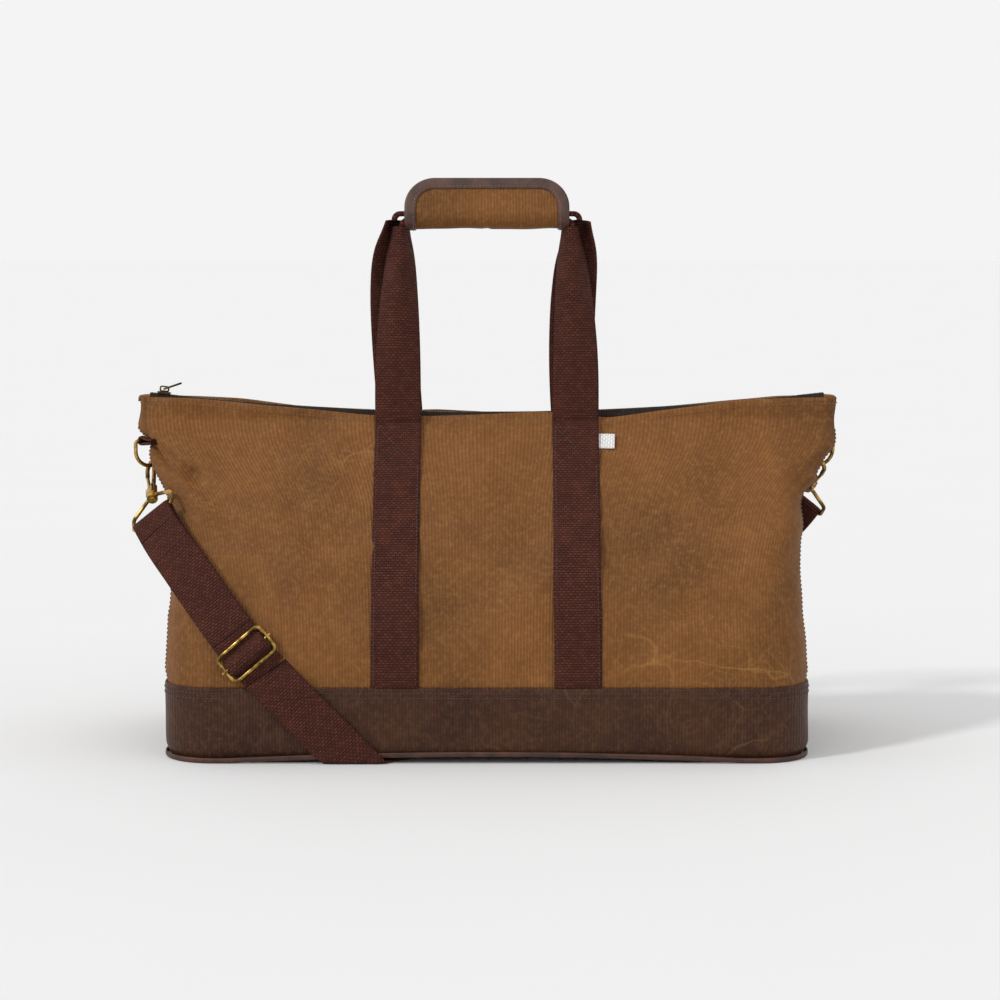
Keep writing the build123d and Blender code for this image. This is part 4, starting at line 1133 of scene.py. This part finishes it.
def stitches(path, normal, length=2.7, space=0.8, thick=0.42):
    """Spindles of thread along a path: four five-sided sections each, thinner at both ends."""
    run = steps(path)
    at = np.arange(length / 2 + 0.2, run[-1] - length / 2, length + space)
    centre = np.stack([np.interp(at, run, path[:, k]) for k in range(3)], -1)
    before = np.stack([np.interp(at - 0.4, run, path[:, k]) for k in range(3)], -1)
    after = np.stack([np.interp(at + 0.4, run, path[:, k]) for k in range(3)], -1)
    way = (after - before) / np.linalg.norm(after - before, axis=1)[:, None]
    up = np.stack([np.interp(at, run, normal[:, k]) for k in range(3)], -1)
    up = up - way * (up * way).sum(1)[:, None]
    up /= np.linalg.norm(up, axis=1)[:, None]
    side = np.cross(way, up)
    angle = np.linspace(0, 2 * pi, 5, endpoint=False)
    parts = []
    round_x, round_y = np.cos(angle)[None, :, None], np.sin(angle)[None, :, None]
    for share, size, rise in spindle:
        middle = centre + way * share * length + up * rise * thick
        ring = round_x * side[:, None] + round_y * up[:, None]
        parts.append(middle[:, None] + ring * thick * size)
    return np.concatenate(parts, 1)


def wall_row(turn, z, lift):
    """Path and normals along the wall, the normals taken from two lifts."""
    path, above = wall_point(turn, z, lift), wall_point(turn, z, lift + 1)
    return stitches(path, above - path)


def front_row(x, z, lift, wall):
    """Stitches over a line on the front or back."""
    x, z = np.linspace(*x, 60), np.linspace(*z, 60)
    path, above = front_point(x, z, lift, wall), front_point(x, z, lift + 1, wall)
    return stitches(path, above - path, length=2.4, thick=0.38)


lap = np.linspace(0, 4, 1400)
edge = wall_point(lap, np.full_like(lap, hem_height))
hem_row = wall_row(lap, hem(edge[:, 0], edge[:, 1]) - 4.2, 0.12)
corner_rows = []
for corner_turn in (1 - 0.215, 1 + 0.215, 3 - 0.215, 3 + 0.215):
    z = np.linspace(band_height + 3, 262, 120)
    corner_rows.append(wall_row(np.full_like(z, corner_turn), z, 0.12))
many("stitches_canvas", np.concatenate([hem_row] + corner_rows), stitch_faces, tan_thread, "bag",
     "waxed_canvas")
band_rows_of_thread = [wall_row(lap, np.full_like(lap, z), band_cover + 1.02) for z in (56.6, 52.4)]
many("stitches_band", np.concatenate(band_rows_of_thread), stitch_faces, brown_thread, "bag",
     "base_canvas")
handle_thread = []
box_low, box_high, edge_in = 231.0, 262.0, web_width / 2 - 2.4
for wall in (-1, 1):
    for x in (-handle_x, handle_x):
        left, right = x - edge_in, x + edge_in
        seam = (band_height + 3, box_high)
        lines = [((left, left), seam), ((right, right), seam),
                 ((left, right), (box_low, box_low)), ((left, right), (box_high, box_high)),
                 ((left, right), (box_low, box_high)), ((left, right), (box_high, box_low))]
        handle_thread += [front_row(across, up, web + 0.25, wall) for across, up in lines]
many("stitches_handles", np.concatenate(handle_thread), stitch_faces, brown_thread, "bag",
     "webbing")
x, t = cut_edge(np.linspace(0, 1, 700), binding_width - 2.2)
path, above = roll(x, t, 1.2), roll(x, t, 2.2)
many("stitches_grip", stitches(path, above - path, length=2.3, thick=0.36), stitch_faces,
     tan_thread, "grip", "binding_leather")

# %% [markdown]
# The metal parts and the hidden ones keep their CAD shape and get their finish.

# %% Finish of the CAD parts
finishes = {"base_board": board_black, "grip_hook_tape": black_nap, "grip_loop_tape": black_nap,
            "zip_slider": dark_brass, "zip_pull": dark_brass}
for name, node in frame["nodes"].items():
    if node.hide_render:
        continue
    finish = finishes.get(name, old_brass)
    node.data.materials.clear()
    node.data.materials.append(finish)
    print(name, "is", finish.name)

# %% [markdown]
# The set: a pale floor without an edge, light from all round that keeps shadows open, and one
# sun from the upper left that is soft enough to blur its shadow's edge.

# %% Floor, light and camera
paper, paper_tree, paper_shader = new_material("studio_paper_white", 0.9, Specular_IOR_Level=0.1)
fibre = add(paper_tree, "TexNoise", {"Scale": 300.0, "Detail": 2.0}).outputs[0]
paper_tree.links.new(mix(paper_tree, fibre, linear("#E2E2E2"), linear("#E4E4E4")),
                     paper_shader.inputs["Base Color"])
floor_mesh = bpy.data.meshes.new("floor")
reach = 40.0
floor_corners = [(-reach, -reach, 0), (reach, -reach, 0), (reach, reach, 0), (-reach, reach, 0)]
floor_mesh.from_pydata(floor_corners, [], [(0, 1, 2, 3)])
floor_mesh.materials.append(paper)
floor = bpy.data.objects.new("floor", floor_mesh)
bpy.context.scene.collection.objects.link(floor)

world = bpy.data.worlds.new("studio")
world.use_nodes = True
sky = world.node_tree.nodes["Background"]
sky.inputs[0].default_value = (0.905, 0.905, 0.905, 1)
sky.inputs[1].default_value = 1.0
bpy.context.scene.world = world
bpy.context.scene.view_settings.view_transform = "Standard"
bpy.context.scene.view_settings.look = "None"

sun_data = bpy.data.lights.new("key", "SUN")
sun_data.energy, sun_data.angle = 1.25, radians(7)
sun = bpy.data.objects.new("key", sun_data)
sun.rotation_euler = Vector((0.62, 0.42, -0.62)).to_track_quat("-Z", "Y").to_euler()
bpy.context.scene.collection.objects.link(sun)

camera_data = bpy.data.cameras.new("camera")
camera_data.lens, camera_data.sensor_width = 95.3, 36.0
camera_data.shift_y = -0.08
camera_data.clip_end = 100.0
camera = bpy.data.objects.new("camera", camera_data)
camera.location = (0.0108, -2.2, 0.42)
camera.rotation_euler = (radians(90 - 4.0), 0, 0)
bpy.context.scene.collection.objects.link(camera)
bpy.context.scene.camera = camera
